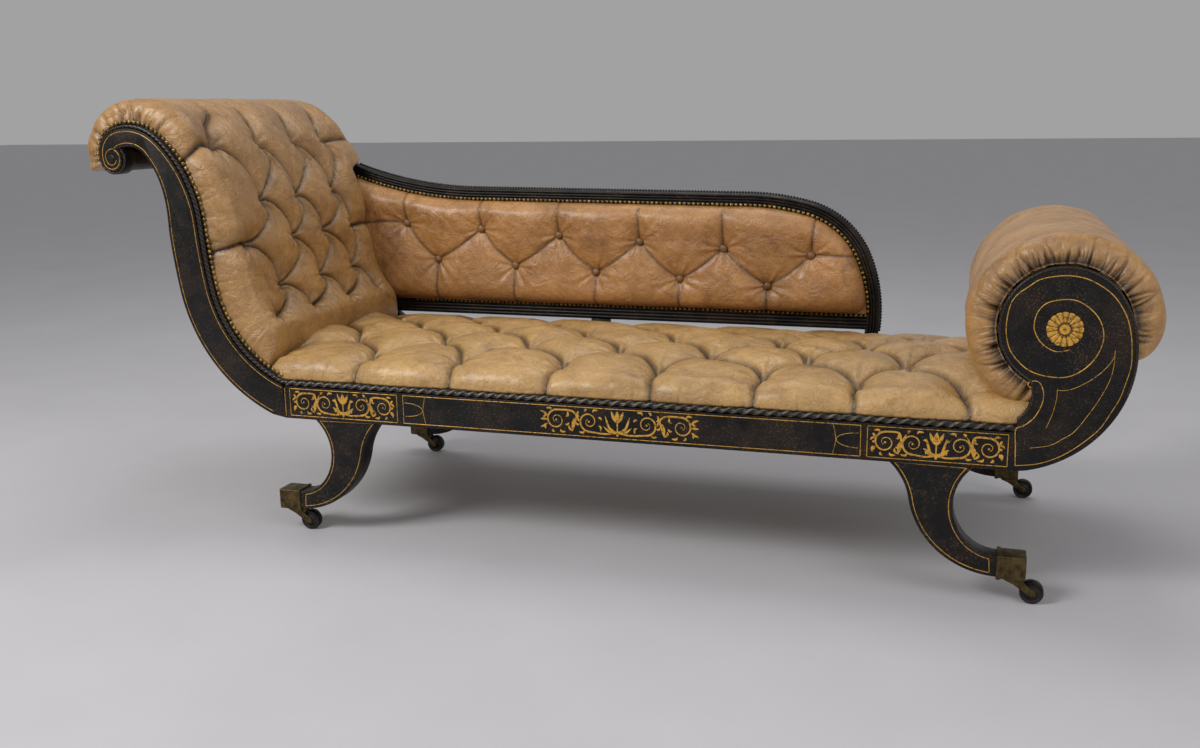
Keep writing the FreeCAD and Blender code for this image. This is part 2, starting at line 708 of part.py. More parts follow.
def seat_pad():
    """The long seat cushion, crowned from front to back and fitted between the two scrolled ends."""
    pad = seat_tufting()
    under = strip(head_path, 0.0, board_width, FRONT - 1, BACK + 1, 0.0, head_path.length / 2)
    head_room = strip(head_path, lambda run: -pad_depth(run) - SIDE_GAP, 0.0, FRONT - 1, BACK + 1,
                      HEAD_PAD_START - SIDE_GAP, head_path.length / 2)
    roll_room = cylinder(ROLL_RADIUS + SIDE_GAP, vector(FOOT_X, FRONT - 1, FOOT_Z), vector(0, 1, 0),
                         DEPTH + 2)
    beyond = box(-FAR, -HALF_RAIL - HEAD_PAD_START * 0.9, FRONT, BACK, 0, FAR)
    past = box(HALF_RAIL, FAR, FRONT, BACK, 0, FAR)
    return pad.cut([under, head_room, roll_room, beyond, past])


def head_tufting(reach):
    """The buttoned part of the head padding, from its lower end to the plain leather of the crest."""
    lines = (-reach, -reach + HEAD_TUFT_BORDER, *HEAD_TUFT_LINES, reach - HEAD_TUFT_BORDER, reach)
    runs = (HEAD_PAD_START, *HEAD_TUFT_RUNS, HEAD_TUFT_END)
    rows = []
    for index, run in enumerate(runs):
        points = []
        for column, y in enumerate(lines):
            sink = 0.0
            if 0 < index < len(runs) - 1:
                if 2 <= column < len(lines) - 2:
                    sink = TUFT_SINK if tied(index, column) else 0.0
                elif index % 2:
                    sink = PLEAT_SINK
            x, z = head_path.at(run, sink - pad_depth(run))
            points.append(vector(x, y, z))
        rows.append(points)
    below = [head_path.at(run, HEAD_SLAT_THICK) for run in runs]
    floor = [[vector(x, y, z) for x, z in below] for y in (-reach, reach)]
    sides = [[row[0] for row in rows] + floor[0][::-1], [row[-1] for row in rows] + floor[1][::-1]]
    ends = [rows[0] + [floor[1][0], floor[0][0]], rows[-1] + [floor[1][-1], floor[0][-1]]]
    under = [[floor[0][step], floor[0][step + 1], floor[1][step + 1], floor[1][step]]
             for step in range(len(runs) - 1)]
    return closed(facets(rows), sides + ends + under)


def head_pad():
    """The padding of the head end, cut away where the back padding meets it."""
    reach = DEPTH / 2 - PAD_INSET
    fitted = strip(head_path, lambda run: -pad_depth(run) - PLEAT_SINK, 0.0, -reach, reach,
                   HEAD_PAD_START, HEAD_TUFT_END)
    crest = strip(head_path, lambda run: -pad_depth(run), 0.0, -reach, reach, HEAD_TUFT_END)
    pad = head_tufting(reach).common(fitted).fuse(crest).removeSplitter()
    back_room = back_area(-SIDE_GAP, BACK_FACE - BACK_PAD_PROUD - SIDE_GAP, BACK + 1)
    return pad.cut(back_room)


def foot_roll(boards):
    """The padding of the round arm: a thick sleeve over the laths, open underneath."""
    reach = DEPTH / 2 - PAD_INSET
    start = vector(FOOT_X, -reach, FOOT_Z)
    inner = hypot(LATH_REACH, LATH_WIDTH / 2) + SIDE_GAP
    corners = [start + vector(radius, 0, 0) for radius in (inner, ROLL_RADIUS)]
    edge = Part.makeLine(*corners)
    axis = vector(0, 1, 0)
    edge.rotate(start, axis, -ROLL_START_ANGLE)
    sector = edge.revolve(start, axis, -ROLL_SWEEP_ANGLE)
    return sector.extrude(axis * 2 * reach).cut(boards)


def build():
    """Makes every piece and returns them by name."""
    pieces = {}
    front_rail = long_rail()
    rear_rail = to_rear(front_rail)
    half_cross = CROSS_RAIL_THICK / 2
    pieces["head_cross_rail"] = cross_rail(-HALF_RAIL + half_cross)
    pieces["foot_cross_rail"] = cross_rail(HALF_RAIL - half_cross)
    places = spread(STRETCHER_COUNT + 2, -HALF_RAIL, HALF_RAIL)[1:-1]
    pieces["seat_stretchers"] = group([stretcher(x) for x in places])
    pieces["corner_blocks"] = group([corner_block(a, b) for a in (-1, 1) for b in (-1, 1)])

    foot_leg = leg()
    legs = {"front_foot": foot_leg, "rear_foot": to_rear(foot_leg)}
    for side in ("front", "rear"):
        legs[side + "_head"] = mirrored(legs[side + "_foot"], vector(1, 0, 0))

    head_front = head_board()
    head_rear = to_rear(head_front)
    foot_front = foot_board()
    foot_rear = to_rear(foot_front)
    runs = spread(HEAD_SLAT_COUNT, HEAD_SLAT_WIDTH * 0.7, head_path.length * 0.8)
    slats = group([head_slat(run) for run in runs])
    laths = group([foot_lath(angle) for angle in spread(LATH_COUNT, LATH_FIRST_ANGLE, LATH_LAST_ANGLE)])
    crest = crest_rail()
    front_bead = head_moulding()
    disc = patera()

    end_run = back_path.length
    scarf = end_run * (1 - BACK_SCARF_RUN)
    top_rail = strip(back_path, 0.0, -BACK_RAIL_WIDTH, BACK_FACE, BACK_REAR, 0.0, scarf)
    top_rail = top_rail.cut(head_rear)
    stile = strip(back_path, 0.0, -BACK_RAIL_WIDTH, BACK_FACE, BACK_REAR, scarf, end_run)
    lower_rail = back_area(BACK_RAIL_WIDTH, BACK_FACE, BACK_REAR)
    lower_rail = lower_rail.common(box(-FAR, FAR, BACK_FACE, BACK_REAR, LOWER_RAIL_BOTTOM, LOWER_RAIL_TOP))
    half_support = BACK_SUPPORT_WIDTH / 2
    support = box(BACK_SUPPORT_PLACE - half_support, BACK_SUPPORT_PLACE + half_support,
                  BACK_FACE, BACK_REAR, RAIL_TOP, LOWER_RAIL_BOTTOM)

    crossers = [pieces["head_cross_rail"], pieces["foot_cross_rail"], pieces["seat_stretchers"]]
    moulding_seat = box(-HALF_RAIL, HALF_RAIL, FRONT, FRONT + MOULDING_DEPTH,
                        RAIL_TOP - MOULDING_WIDTH, RAIL_TOP)
    front_rail = front_rail.cut([moulding_seat, legs["front_foot"], legs["front_head"]] + crossers)
    rear_rail = rear_rail.cut([legs["rear_foot"], legs["rear_head"], stile] + crossers)
    pieces["front_seat_rail"] = front_rail
    pieces["back_seat_rail"] = rear_rail
    pieces["rail_moulding"] = rail_moulding()
    pieces["head_front_board"] = head_front.cut([front_rail, slats, crest, front_bead])
    pieces["head_rear_board"] = head_rear.cut([rear_rail, slats, crest])
    pieces["head_moulding"] = front_bead
    pieces["head_slats"] = slats
    pieces["head_crest_rail"] = crest
    pieces["foot_front_board"] = foot_front.cut([front_rail, laths, disc])
    pieces["foot_rear_board"] = foot_rear.cut([rear_rail, laths])
    pieces["foot_patera"] = disc
    pieces["foot_laths"] = laths
    pieces["back_top_rail"] = top_rail
    pieces["back_end_stile"] = stile
    pieces["back_lower_rail"] = lower_rail
    pieces["back_support"] = support

    cut_legs = []
    sockets = []
    for name, shape in legs.items():
        x = SOCKET_X if name.endswith("foot") else -SOCKET_X
        y = LEG_Y if name.startswith("front") else -LEG_Y
        cap = socket()
        cap = cap if x > 0 else mirrored(cap, vector(1, 0, 0))
        cap = cap if y < 0 else to_rear(cap)
        cut_legs.append(shape.cut(head_room(x, y)))
        sockets.append(cap.cut(pin_room(x, y)))
        pieces["fork_" + name] = fork(x, y)
        pieces["wheel_" + name] = wheel(x, y)
    pieces["legs"] = group(cut_legs)
    pieces["castor_sockets"] = group(sockets)

    end_x = HALF_RAIL - CROSS_RAIL_THICK / 3
    ledge = INNER_BACK + WEB_LEDGE
    pieces["seat_webbing"] = seat_webbing(end_x, ledge)
    pieces["seat_base_cloth"] = box(-end_x, end_x, -ledge, ledge, RAIL_TOP - CLOTH_THICK, RAIL_TOP)
    pieces["seat_pad"] = seat_pad()

    pieces["head_pad"] = head_pad()
    pieces["head_outer_cover"] = head_outer_cover()
    pieces["foot_roll_pad"] = foot_roll([foot_front, foot_rear])
    pieces["foot_outer_panel"] = foot_outer_panel(pieces["foot_roll_pad"])

    cover_y = BACK_REAR - COVER_INSET
    web_y = cover_y - COVER_THICK
    pieces["back_pad"] = back_pad()
    pieces["back_outer_cover"] = back_opening(cover_y - COVER_THICK, cover_y)
    pieces["back_webbing"] = back_webbing(web_y)
    buttons = []
    for index in range(UPPER_BUTTON_COUNT):
        buttons.append(button(UPPER_BUTTON_FIRST + index * UPPER_BUTTON_PITCH,
                              UPPER_BUTTON_HEIGHT - index * UPPER_BUTTON_FALL))
    for index in range(LOWER_BUTTON_COUNT):
        buttons.append(button(LOWER_BUTTON_FIRST + index * LOWER_BUTTON_PITCH,
                              LOWER_BUTTON_HEIGHT - index * LOWER_BUTTON_FALL))
    pieces["back_buttons"] = group(buttons)
    return pieces


pieces = build()
extent = Part.makeCompound(list(pieces.values())).optimalBoundingBox()
CENTRE_SHIFT = -(extent.XMin + extent.XMax) / 2
os.makedirs("parts", exist_ok=True)
for name, shape in pieces.items():
    shape.translate(vector(CENTRE_SHIFT, 0, 0))
    shape.exportStep(f"parts/{name}.step")
print("pieces", len(pieces), "size", round(extent.XLength, 1), round(extent.YLength, 1),
      round(extent.ZLength, 1), "shift", round(CENTRE_SHIFT, 3))
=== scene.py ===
"""A Regency recamier: painted frame, gilt ornament, buttoned leather and brass castors."""
from math import atan2, ceil, cos, hypot, pi, radians, sin, sqrt, tan

import bmesh
import bpy
import numpy as np
from mathutils import Matrix, Vector


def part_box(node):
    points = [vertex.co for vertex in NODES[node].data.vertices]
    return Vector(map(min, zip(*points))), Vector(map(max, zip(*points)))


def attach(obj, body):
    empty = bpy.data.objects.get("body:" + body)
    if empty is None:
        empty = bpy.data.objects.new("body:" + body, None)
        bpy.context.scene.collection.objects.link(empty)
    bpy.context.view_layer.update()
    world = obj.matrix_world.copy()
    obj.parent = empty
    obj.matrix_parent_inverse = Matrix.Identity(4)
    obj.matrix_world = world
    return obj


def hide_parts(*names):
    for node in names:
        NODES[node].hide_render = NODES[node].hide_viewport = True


bl_info = {
    "name": "Recamier",
    "version": (1, 0, 0),
    "blender": (4, 5, 0),
    "location": "View3D > Sidebar > Recamier",
    "description": "Models a scrolled recamier on its packed frame",
    "category": "Add Mesh",
}

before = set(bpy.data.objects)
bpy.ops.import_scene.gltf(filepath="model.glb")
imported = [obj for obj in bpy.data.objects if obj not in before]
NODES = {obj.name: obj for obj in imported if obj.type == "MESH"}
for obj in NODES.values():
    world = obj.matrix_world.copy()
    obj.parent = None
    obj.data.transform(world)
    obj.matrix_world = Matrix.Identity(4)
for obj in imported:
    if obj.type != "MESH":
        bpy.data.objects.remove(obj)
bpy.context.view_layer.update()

RAIL_LOW, RAIL_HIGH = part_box("front_seat_rail")
MIDDLE = (RAIL_LOW.x + RAIL_HIGH.x) / 2
FRONT = RAIL_LOW.y
BACK = -FRONT
RAIL_BOTTOM = RAIL_LOW.z
RAIL_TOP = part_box("rail_moulding")[1].z
HALF_RAIL = 0.674
RAIL_START = MIDDLE - HALF_RAIL
RAIL_END = MIDDLE + HALF_RAIL
BOARD_THICK = 0.034
BACK_REAR = 0.308
BACK_FACE = 0.286
BACK_PAD_FACE = 0.246
BACK_RAIL_WIDTH = 0.028
BACK_JOIN_RUN = 0.472
LOWER_RAIL_BOTTOM = 0.346
LOWER_RAIL_TOP = 0.380
PAD_REACH = 0.301
FACING_RADIUS = 0.0989
VOLUTE_RADIUS = 0.030
SEAT_START = MIDDLE - 0.730
SEAT_END = MIDDLE + 0.694
HEAD_COVER_START = 0.046
HEAD_EDGE = 0.035
HEAD_EDGE_REACH = 0.075
HEAD_FLAT = PAD_REACH - HEAD_EDGE
HEAD_SPREAD = 0.341
ROLL_RADIUS = 0.150
ROLL_NECK_RADIUS = 0.1030
ROLL_EDGE = 0.032
ROLL_EDGE_REACH = 0.062
ROLL_FLAT = PAD_REACH - ROLL_EDGE
ROLL_SPREAD = 0.330
ROLL_START = radians(-27)
ROLL_SWEEP = radians(285)
SOCKET_LOW, SOCKET_HIGH = 0.044, 0.084
CLOTH_REACH_X, CLOTH_REACH_Y = HALF_RAIL - 0.010, 0.284
CAMERA_PLACE = (0.7176, -2.2741, 0.8091)
CAMERA_YAW, CAMERA_PITCH, CAMERA_ROLL = radians(17.8988), radians(-12.4178), radians(-0.7979)
LENS, SENSOR = 35.75, 36.0
PHOTO_SIZE = (1200, 748)
SIDES = {"front_head": (-1, -1), "front_foot": (1, -1), "rear_head": (-1, 1), "rear_foot": (1, 1)}


# Curves

def part_way(value, start, end):
    """0 before start, 1 after end, and even in between."""
    return np.clip((value - start) / (end - start), 0.0, 1.0)


def eased(value, start, end):
    """0 before start, 1 after end, and a smooth ease between."""
    share = part_way(value, start, end)
    return share * share * (3 - 2 * share)


def fading(value, reach, power=1.0):
    """1 at nothing, fading out over a reach."""
    return np.exp(-(value / reach) ** power)


def polar(centre, reach, angle):
    return (centre[0] + reach * cos(angle), centre[1] + reach * sin(angle))


class Path:
    """Tangent arcs and straights in side view, measured by the distance run along them."""

    def __init__(self, start, heading, legs):
        self.pieces = []
        self.length = 0.0
        self.point = start
        self.heading = heading
        for size, turn in legs:
            self.add(size, turn)

    def add(self, size, turn):
        length = size * radians(abs(turn)) if turn else size
        self.pieces.append((self.length, length, self.point, radians(self.heading), radians(turn) / length))
        self.point = self.at(self.length + length)
        self.heading += turn
        self.length += length

    def at(self, run, offset=0.0):
        """The point at this distance, moved to the left of the path by the offset."""
        first, length, (x, z), heading, curve = self.piece_at(run)
        step = run - first
        turned = heading + curve * step
        if abs(curve) > 1e-9:
            x += (sin(turned) - sin(heading)) / curve
            z -= (cos(turned) - cos(heading)) / curve
        else:
            x += step * cos(heading)
            z += step * sin(heading)
        return (x - offset * sin(turned), z + offset * cos(turned))

    def piece_at(self, run):
        return [piece for piece in self.pieces if piece[0] <= run or piece is self.pieces[0]][-1]

    def direction(self, run):
        """The heading in radians at this distance."""
        first, length, place, heading, curve = self.piece_at(run)
        return heading + curve * (run - first)

    def centre(self, index):
        first, length, (x, z), heading, curve = self.pieces[index]
        return (x - sin(heading) / curve, z + cos(heading) / curve)

    def line(self, start, end, step, offset=0.0):
        """Points along the path at an offset, which is a number or a function of the distance."""
        count = max(1, ceil(abs(end - start) / step))
        runs = [start + (end - start) * index / count for index in range(count + 1)]
        return [self.at(run, offset(run) if callable(offset) else offset) for run in runs]


class Table:
    """A path measured once at close steps, so that whole sheets of points can be laid along it."""

    def __init__(self, path):
        self.runs = np.linspace(0.0, path.length, 1200)
        self.x, self.z = np.array([path.at(run) for run in self.runs]).T
        self.turn = np.array([path.direction(run) for run in self.runs])

    def lay(self, run, offset):
        x, z, turn = (np.interp(run, self.runs, values) for values in (self.x, self.z, self.turn))
        return x - offset * np.sin(turn), z + offset * np.cos(turn)


head_path = Path((RAIL_START, RAIL_TOP), 157.2,
                 [(0.243, -57.4), (1.132, -5.9), (0.2413, 45.0), (0.1076, 59.4), (0.0554, 90.6)])
foot_path = Path((RAIL_END, RAIL_BOTTOM), 0.0,
                 [(0.092, 15.0), (0.1987, 86.2), (0.1632, 20.5), (FACING_RADIUS, 210.4)])
back_path = Path(head_path.at(BACK_JOIN_RUN), -22.3,
                 [(0.948, 21.6), (0.638, 0), (0.548, -14.0), (0.1916, -51.9), (0.3198, -31.4)])
BACK_RUN = back_path.length
back_path.add((back_path.point[1] - RAIL_TOP) / sin(radians(-back_path.heading)) + 0.012, 0)
head_table = Table(head_path)
FACING = foot_path.centre(-1)
VOLUTE = head_path.at(head_path.length, VOLUTE_RADIUS)


def volute_turn(spot):
    """The angle of a point about the middle of the volute."""
    return atan2(spot[1] - VOLUTE[1], spot[0] - VOLUTE[0])


def board_width(run):
    """The head board narrows from the rail to the volute."""
    return 0.076 - 0.034 * eased(run, 0.45 * head_path.length, 0.83 * head_path.length)


def edge_inset(run):
    """How wide the moulding on the edge of the head board is: it thins towards the volute."""
    return 0.0112 - 0.0052 * eased(run, 0.55 * head_path.length, head_path.length)


def lengths_along(line):
    steps = np.linalg.norm(np.diff(line, axis=0), axis=1)
    return np.concatenate([[0.0], np.cumsum(steps)])


def resampled(points, step):
    """The same line with its points at even distances."""
    places = np.array([tuple(point) for point in points])
    lengths = lengths_along(places)
    wanted = np.linspace(0.0, lengths[-1], max(2, ceil(lengths[-1] / step) + 1))
    return np.stack([np.interp(wanted, lengths, values) for values in places.T], 1)


def flow(points, step=0.002):
    """A smooth line through a few points in the plane, sampled at even steps."""
    places = [Vector(point) for point in points]
    last = len(places) - 1
    if last < 2:
        return resampled([places[0].lerp(places[-1], index / 8) for index in range(9)], step)
    dense = []
    for index in range(last):
        before, start, end, after = (places[min(last, max(0, index + move))] for move in (-1, 0, 1, 2))
        for part in range(12):
            t = part / 12
            dense.append(0.5 * ((2 * start) + (end - before) * t
                                + (2 * before - 5 * start + 4 * end - after) * t * t
                                + (3 * start - before - 3 * end + after) * t * t * t))
    return resampled(dense + [places[-1]], step)


def spiral(centre, radius, start, turns, inner, hand):
    """Points of a spiral that winds in from an angle in degrees."""
    count = int(24 * turns)
    return [polar(centre, radius * (1 - (1 - inner) * index / (24 * turns)),
                  radians(start) + hand * 2 * pi * index / 24) for index in range(count + 1)]


def arc_through(first, middle, last, count):
    """Points of the arc through three points."""
    (ax, ay), (bx, by), (cx, cy) = first, middle, last
    twice = 2 * (ax * (by - cy) + bx * (cy - ay) + cx * (ay - by))
    a2, b2, c2 = ax * ax + ay * ay, bx * bx + by * by, cx * cx + cy * cy
    ux = (a2 * (by - cy) + b2 * (cy - ay) + c2 * (ay - by)) / twice
    uy = (a2 * (cx - bx) + b2 * (ax - cx) + c2 * (bx - ax)) / twice
    radius = hypot(ax - ux, ay - uy)
    angles = np.unwrap([atan2(y - uy, x - ux) for x, y in (first, middle, last)])
    swept = np.linspace(angles[0], angles[2], count)
    return np.stack([ux + radius * np.cos(swept), uy + radius * np.sin(swept)], 1)


def neck_arc(count):
    """The hollow of the foot board, from the round facing down to the rail."""
    notch = foot_path.at(foot_path.length)
    neck = (RAIL_END, RAIL_TOP + 0.012)
    bulge = (notch[0] + 0.004, neck[1] + (notch[1] - neck[1]) * 0.6)
    return [tuple(spot) for spot in arc_through(notch, bulge, neck, count)]


# Meshes

def sizes():
    return bpy.context.scene.recamier_sizes


def verts_of(made):
    return [part for part in made if isinstance(part, bmesh.types.BMVert)]


def boundary(bm):
    return [edge for edge in bm.edges if edge.is_boundary]


def absorbed(bm, local):
    """Adds everything in another mesh being made, which ends there."""
    mesh = bpy.data.meshes.new("part")
    local.to_mesh(mesh)
    local.free()
    bm.from_mesh(mesh)
    bpy.data.meshes.remove(mesh)


def drawn_in(bm, settle):
    """Carries the open rim of a mesh on to the place that settle gives for each point."""
    for vert in verts_of(bmesh.ops.extrude_edge_only(bm, edges=boundary(bm))["geom"]):
        vert.co = settle(vert.co)


def capped(bm):
    bmesh.ops.holes_fill(bm, edges=boundary(bm), sides=0)
    bmesh.ops.recalc_face_normals(bm, faces=bm.faces[:])


def laid_grid(bm, along, across, place, closed=False):
    """A grid of quads laid on the surface that place(u, v) gives for u and v from 0 to 1."""
    made = bmesh.ops.create_grid(bm, x_segments=along, y_segments=across, size=1.0)["verts"]
    for vert in made:
        vert.co = place((vert.co.x + 1) / 2, (vert.co.y + 1) / 2)
    if closed:
        bmesh.ops.remove_doubles(bm, verts=made, dist=1e-6)


def plate(bm, outline, y0, y1, ease, segments=2):
    """An outline in side view made as thick as two planes are apart, with its edges eased."""
    corners = [bm.verts.new((x, y0, z)) for x, z in outline]
    face = bm.faces.new(corners)
    moved = verts_of(bmesh.ops.extrude_face_region(bm, geom=[face])["geom"])
    bmesh.ops.translate(bm, verts=moved, vec=(0, y1 - y0, 0))
    parts = set(corners) | set(moved)
    faces = {face for vert in parts for face in vert.link_faces}
    bmesh.ops.recalc_face_normals(bm, faces=list(faces))
    rims = {edge for vert in parts for edge in vert.link_edges
            if abs(edge.verts[0].co.y - edge.verts[1].co.y) < 1e-7}
    bmesh.ops.bevel(bm, geom=list(rims), offset=ease, affect="EDGES", segments=segments,
                    profile=0.5, material=-1, clamp_overlap=True)


def block(bm, low, high, ease, segments=2):
    """A box between two corners with eased edges."""
    middle = [(a + b) / 2 for a, b in zip(low, high)]
    size = [b - a for a, b in zip(low, high)]
    matrix = Matrix.Translation(middle) @ Matrix.Diagonal((*size, 1))
    made = bmesh.ops.create_cube(bm, size=1.0, matrix=matrix)["verts"]
    edges = {edge for vert in made for edge in vert.link_edges}
    bmesh.ops.bevel(bm, geom=list(edges), offset=ease, affect="EDGES", segments=segments,
                    profile=0.5, material=-1)


def turned(bm, profile, centre, steps):
    """Adds a turned form about an axis along Y: profile gives radius and place along the axis."""
    local = bmesh.new()
    verts = [local.verts.new((centre[0] + radius, centre[1] + along, centre[2])) for radius, along in profile]
    edges = [local.edges.new(pair) for pair in zip(verts, verts[1:])]
    bmesh.ops.spin(local, geom=verts + edges, cent=centre, axis=(0, 1, 0), angle=2 * pi,
                   steps=steps, use_merge=True)
    bmesh.ops.remove_doubles(local, verts=local.verts[:], dist=1e-6)
    absorbed(bm, local)


def dome(bm, place, out, radius, height, sides=8):
    """A round head at a place, facing along out."""
    turn = Vector((0, 0, 1)).rotation_difference(Vector(out)).to_matrix().to_4x4()
    matrix = Matrix.Translation(place) @ turn @ Matrix.Diagonal((radius, radius, height, 1))
    bmesh.ops.create_uvsphere(bm, u_segments=sides, v_segments=5, radius=1.0, matrix=matrix)


def mirrored_copy(bm, axis):
    """Adds the mirror image of everything in the mesh, across the middle of the rail or the depth."""
    made = bmesh.ops.duplicate(bm, geom=bm.verts[:] + bm.edges[:] + bm.faces[:])["geom"]
    for vert in verts_of(made):
        if axis == "Y":
            vert.co.y = -vert.co.y
        else:
            vert.co.x = 2 * MIDDLE - vert.co.x
    bmesh.ops.reverse_faces(bm, faces=[part for part in made if isinstance(part, bmesh.types.BMFace)])


def finished(name, bm, look, stands_for=(), body="root", smooth=40):
    """Makes a piece from a mesh, in place, and sets it on its body."""
    mesh = bpy.data.meshes.new(name)
    bm.to_mesh(mesh)
    bm.free()
    mesh.polygons.foreach_set("use_smooth", [True] * len(mesh.polygons))
    if smooth:
        mesh.set_sharp_from_angle(angle=radians(smooth))
    mesh.materials.append(finish(look))
    piece = bpy.data.objects.new(name, mesh)
    bpy.context.scene.collection.objects.link(piece)
    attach(piece, body)
    if stands_for:
        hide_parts(*stands_for)
    return piece


def mark(piece, name, values):
    """Keeps one number for each point of a piece, for its material to read."""
    layer = piece.data.attributes.new(name, "FLOAT", "POINT")
    layer.data.foreach_set("value", np.asarray(values, dtype=np.float32))


def key(spot, digits):
    return tuple(round(number, digits) for number in spot)


def mark_places(piece, name, values, digits, missing):
    """The same, from a table that gives the number for each place."""
    mark(piece, name, [values.get(key(vert.co, digits), missing) for vert in piece.data.vertices])


def ribbon(bm, line, width, plane, taper=None):
    """A thin painted stroke on the front: its middle stands proud and its edges sink in."""
    points = np.asarray(line)
    tangents = np.gradient(points, axis=0)
    tangents /= np.maximum(np.linalg.norm(tangents, axis=1), 1e-9)[:, None]
    last = len(points) - 1

    def place(u, v):
        index = min(last, int(round(u * last)))
        wide = width if taper is None else width * taper(index / last)
        across = (v - 0.5) * wide
        x = points[index][0] - tangents[index][1] * across
        z = points[index][1] + tangents[index][0] * across
        return (x, plane - (0.0007 if abs(v - 0.5) < 0.1 else -0.0001), z)

    laid_grid(bm, last, 2, place)


def leaf_taper(share):
    """A stroke that swells from a point and ends in a point."""
    return max(0.05, sin(pi * share) ** 0.8)


def tail_taper(share):
    """A stroke that thins towards its end."""
    return 1.0 - 0.75 * share


# Plain forms of the padding

def seat_profile():
    """The seat from front to back: a rolled front edge, a crown and a rolled rear edge."""
    front, back, round_in = -PAD_REACH, BACK_FACE - 0.0003, 0.036
    points = [(front, RAIL_TOP), (front + round_in * 0.25, RAIL_TOP + 0.0272),
              (front + round_in, RAIL_TOP + 0.040), (0.0, RAIL_TOP + 0.066),
              (back - round_in, RAIL_TOP + 0.034), (back - round_in * 0.25, RAIL_TOP + 0.0231),
              (back, RAIL_TOP)]
    arcs = [arc_through(*points[index:index + 3], 60) for index in (0, 2, 4)]
    return resampled(np.concatenate([arcs[0], arcs[1][1:], arcs[2][1:]]), 0.001)


SEAT_LINE = seat_profile()
SEAT_LENGTHS = lengths_along(SEAT_LINE)
SEAT_MIDDLE = float(np.interp(0.0, SEAT_LINE[:, 0], SEAT_LENGTHS))


def seat_base(x, s):
    """Points and outward directions of the plain seat, for places along it and across it."""
    slope = np.gradient(SEAT_LINE, axis=0)
    slope /= np.linalg.norm(slope, axis=1)[:, None]
    y, z, along_y, along_z = (np.interp(s + SEAT_MIDDLE, SEAT_LENGTHS, values)
                              for values in (*SEAT_LINE.T, *slope.T))
    return np.stack([x, y, z], 1), np.stack([0 * y, -along_z, along_y], 1)


def edge_round(s, flat, edge, reach):
    """How far across and how far out a padded surface is, rounding over at both edges."""
    over = part_way(np.abs(s), flat, flat + reach) * pi / 2
    across = np.sign(s) * (np.minimum(np.abs(s), flat) + edge * np.sin(over))
    return across, np.cos(over) ** 0.85, over


def rear_flat(run):
    """Half the flat width of the head padding at the wall side: narrower in front of the low back."""
    x, z = head_table.lay(head_table.runs, -0.050)
    start_x, start_z = back_path.at(0.0)
    over = z - (start_z - tan(radians(22.3)) * (x - start_x))
    narrow = BACK_PAD_FACE - 0.0005 - HEAD_EDGE
    above = np.interp(run, head_table.runs, np.maximum.accumulate(over))
    return narrow + (HEAD_FLAT - narrow) * eased(above, 0.0, 0.022)


def head_base(run, s):
    """Points and outward directions of the plain head padding."""
    flat = np.where(s > 0, rear_flat(run), HEAD_FLAT)
    squeeze = (flat + HEAD_EDGE_REACH - 0.15) / (HEAD_FLAT + HEAD_EDGE_REACH - 0.15)
    s = np.where(s > 0.15, 0.15 + (s - 0.15) * squeeze, s)
    y, share, over = edge_round(s, flat, HEAD_EDGE, HEAD_EDGE_REACH)
    depth = 0.067 - 0.017 * eased(run, 0.40 * head_path.length, 0.62 * head_path.length)
    start = part_way(run, HEAD_COVER_START, HEAD_COVER_START + 0.060)
    depth = depth * (0.10 + 0.90 * np.sqrt(1 - (1 - start) ** 2))
    x, z = head_table.lay(run, -depth * share)
    turn = np.interp(run, head_table.runs, head_table.turn)
    out = np.cos(over)
    aside = np.sin(over) * np.sign(s)
    return np.stack([x, y, z], 1), np.stack([np.sin(turn) * out, aside, -np.cos(turn) * out], 1)


def roll_base(angle, s):
    """Points and outward directions of the plain round arm, which thins to the board at both ends."""
    y, share, over = edge_round(s, ROLL_FLAT, ROLL_EDGE, ROLL_EDGE_REACH)
    outer = part_way(angle, ROLL_START, ROLL_START + radians(34))
    inner = part_way(ROLL_START + ROLL_SWEEP - angle, 0, radians(20))
    full = np.sqrt(1 - (1 - outer) ** 2) * np.sqrt(1 - (1 - inner) ** 2)
    radius = ROLL_NECK_RADIUS + (ROLL_RADIUS - ROLL_NECK_RADIUS) * share * full
    out = np.cos(over)
    aside = np.sin(over) * np.sign(s)
    spots = np.stack([FACING[0] + radius * np.cos(angle), y, FACING[1] + radius * np.sin(angle)], 1)
    return spots, np.stack([np.cos(angle) * out, aside, np.sin(angle) * out], 1)


def back_outline():
    """The inner edge of the back frame: its side along the head board, and its curved top and end."""
    inner = [back_path.at(run, -BACK_RAIL_WIDTH) for run in np.linspace(0.0, back_path.length, 500)]
    top = [spot for spot in inner if spot[1] > LOWER_RAIL_TOP]
    side = [head_path.at(run) for run in np.linspace(0.02, BACK_JOIN_RUN + 0.02, 120)]
    side = [spot for spot in side if LOWER_RAIL_TOP < spot[1] < top[0][1] - 0.004]
    return side, top


# Folds, gathers and buttoning

def far_from(points, lines):
    """The distance from each point to the nearest of some broken lines, and the side it is on."""
    best = np.full(len(points), 1e9)
    side = np.zeros(len(points))
    for line in lines:
        line = np.asarray(line, dtype=float)
        for start, end in zip(line, line[1:]):
            along = end - start
            share = np.clip(((points - start) @ along) / max(float(along @ along), 1e-12), 0.0, 1.0)
            gap = points - start - share[:, None] * along
            square = np.einsum("ij,ij->i", gap, gap)
            nearer = square < best
            best[nearer] = square[nearer]
            side[nearer] = np.sign(along[0] * gap[nearer, 1] - along[1] * gap[nearer, 0])
    return np.sqrt(best), side


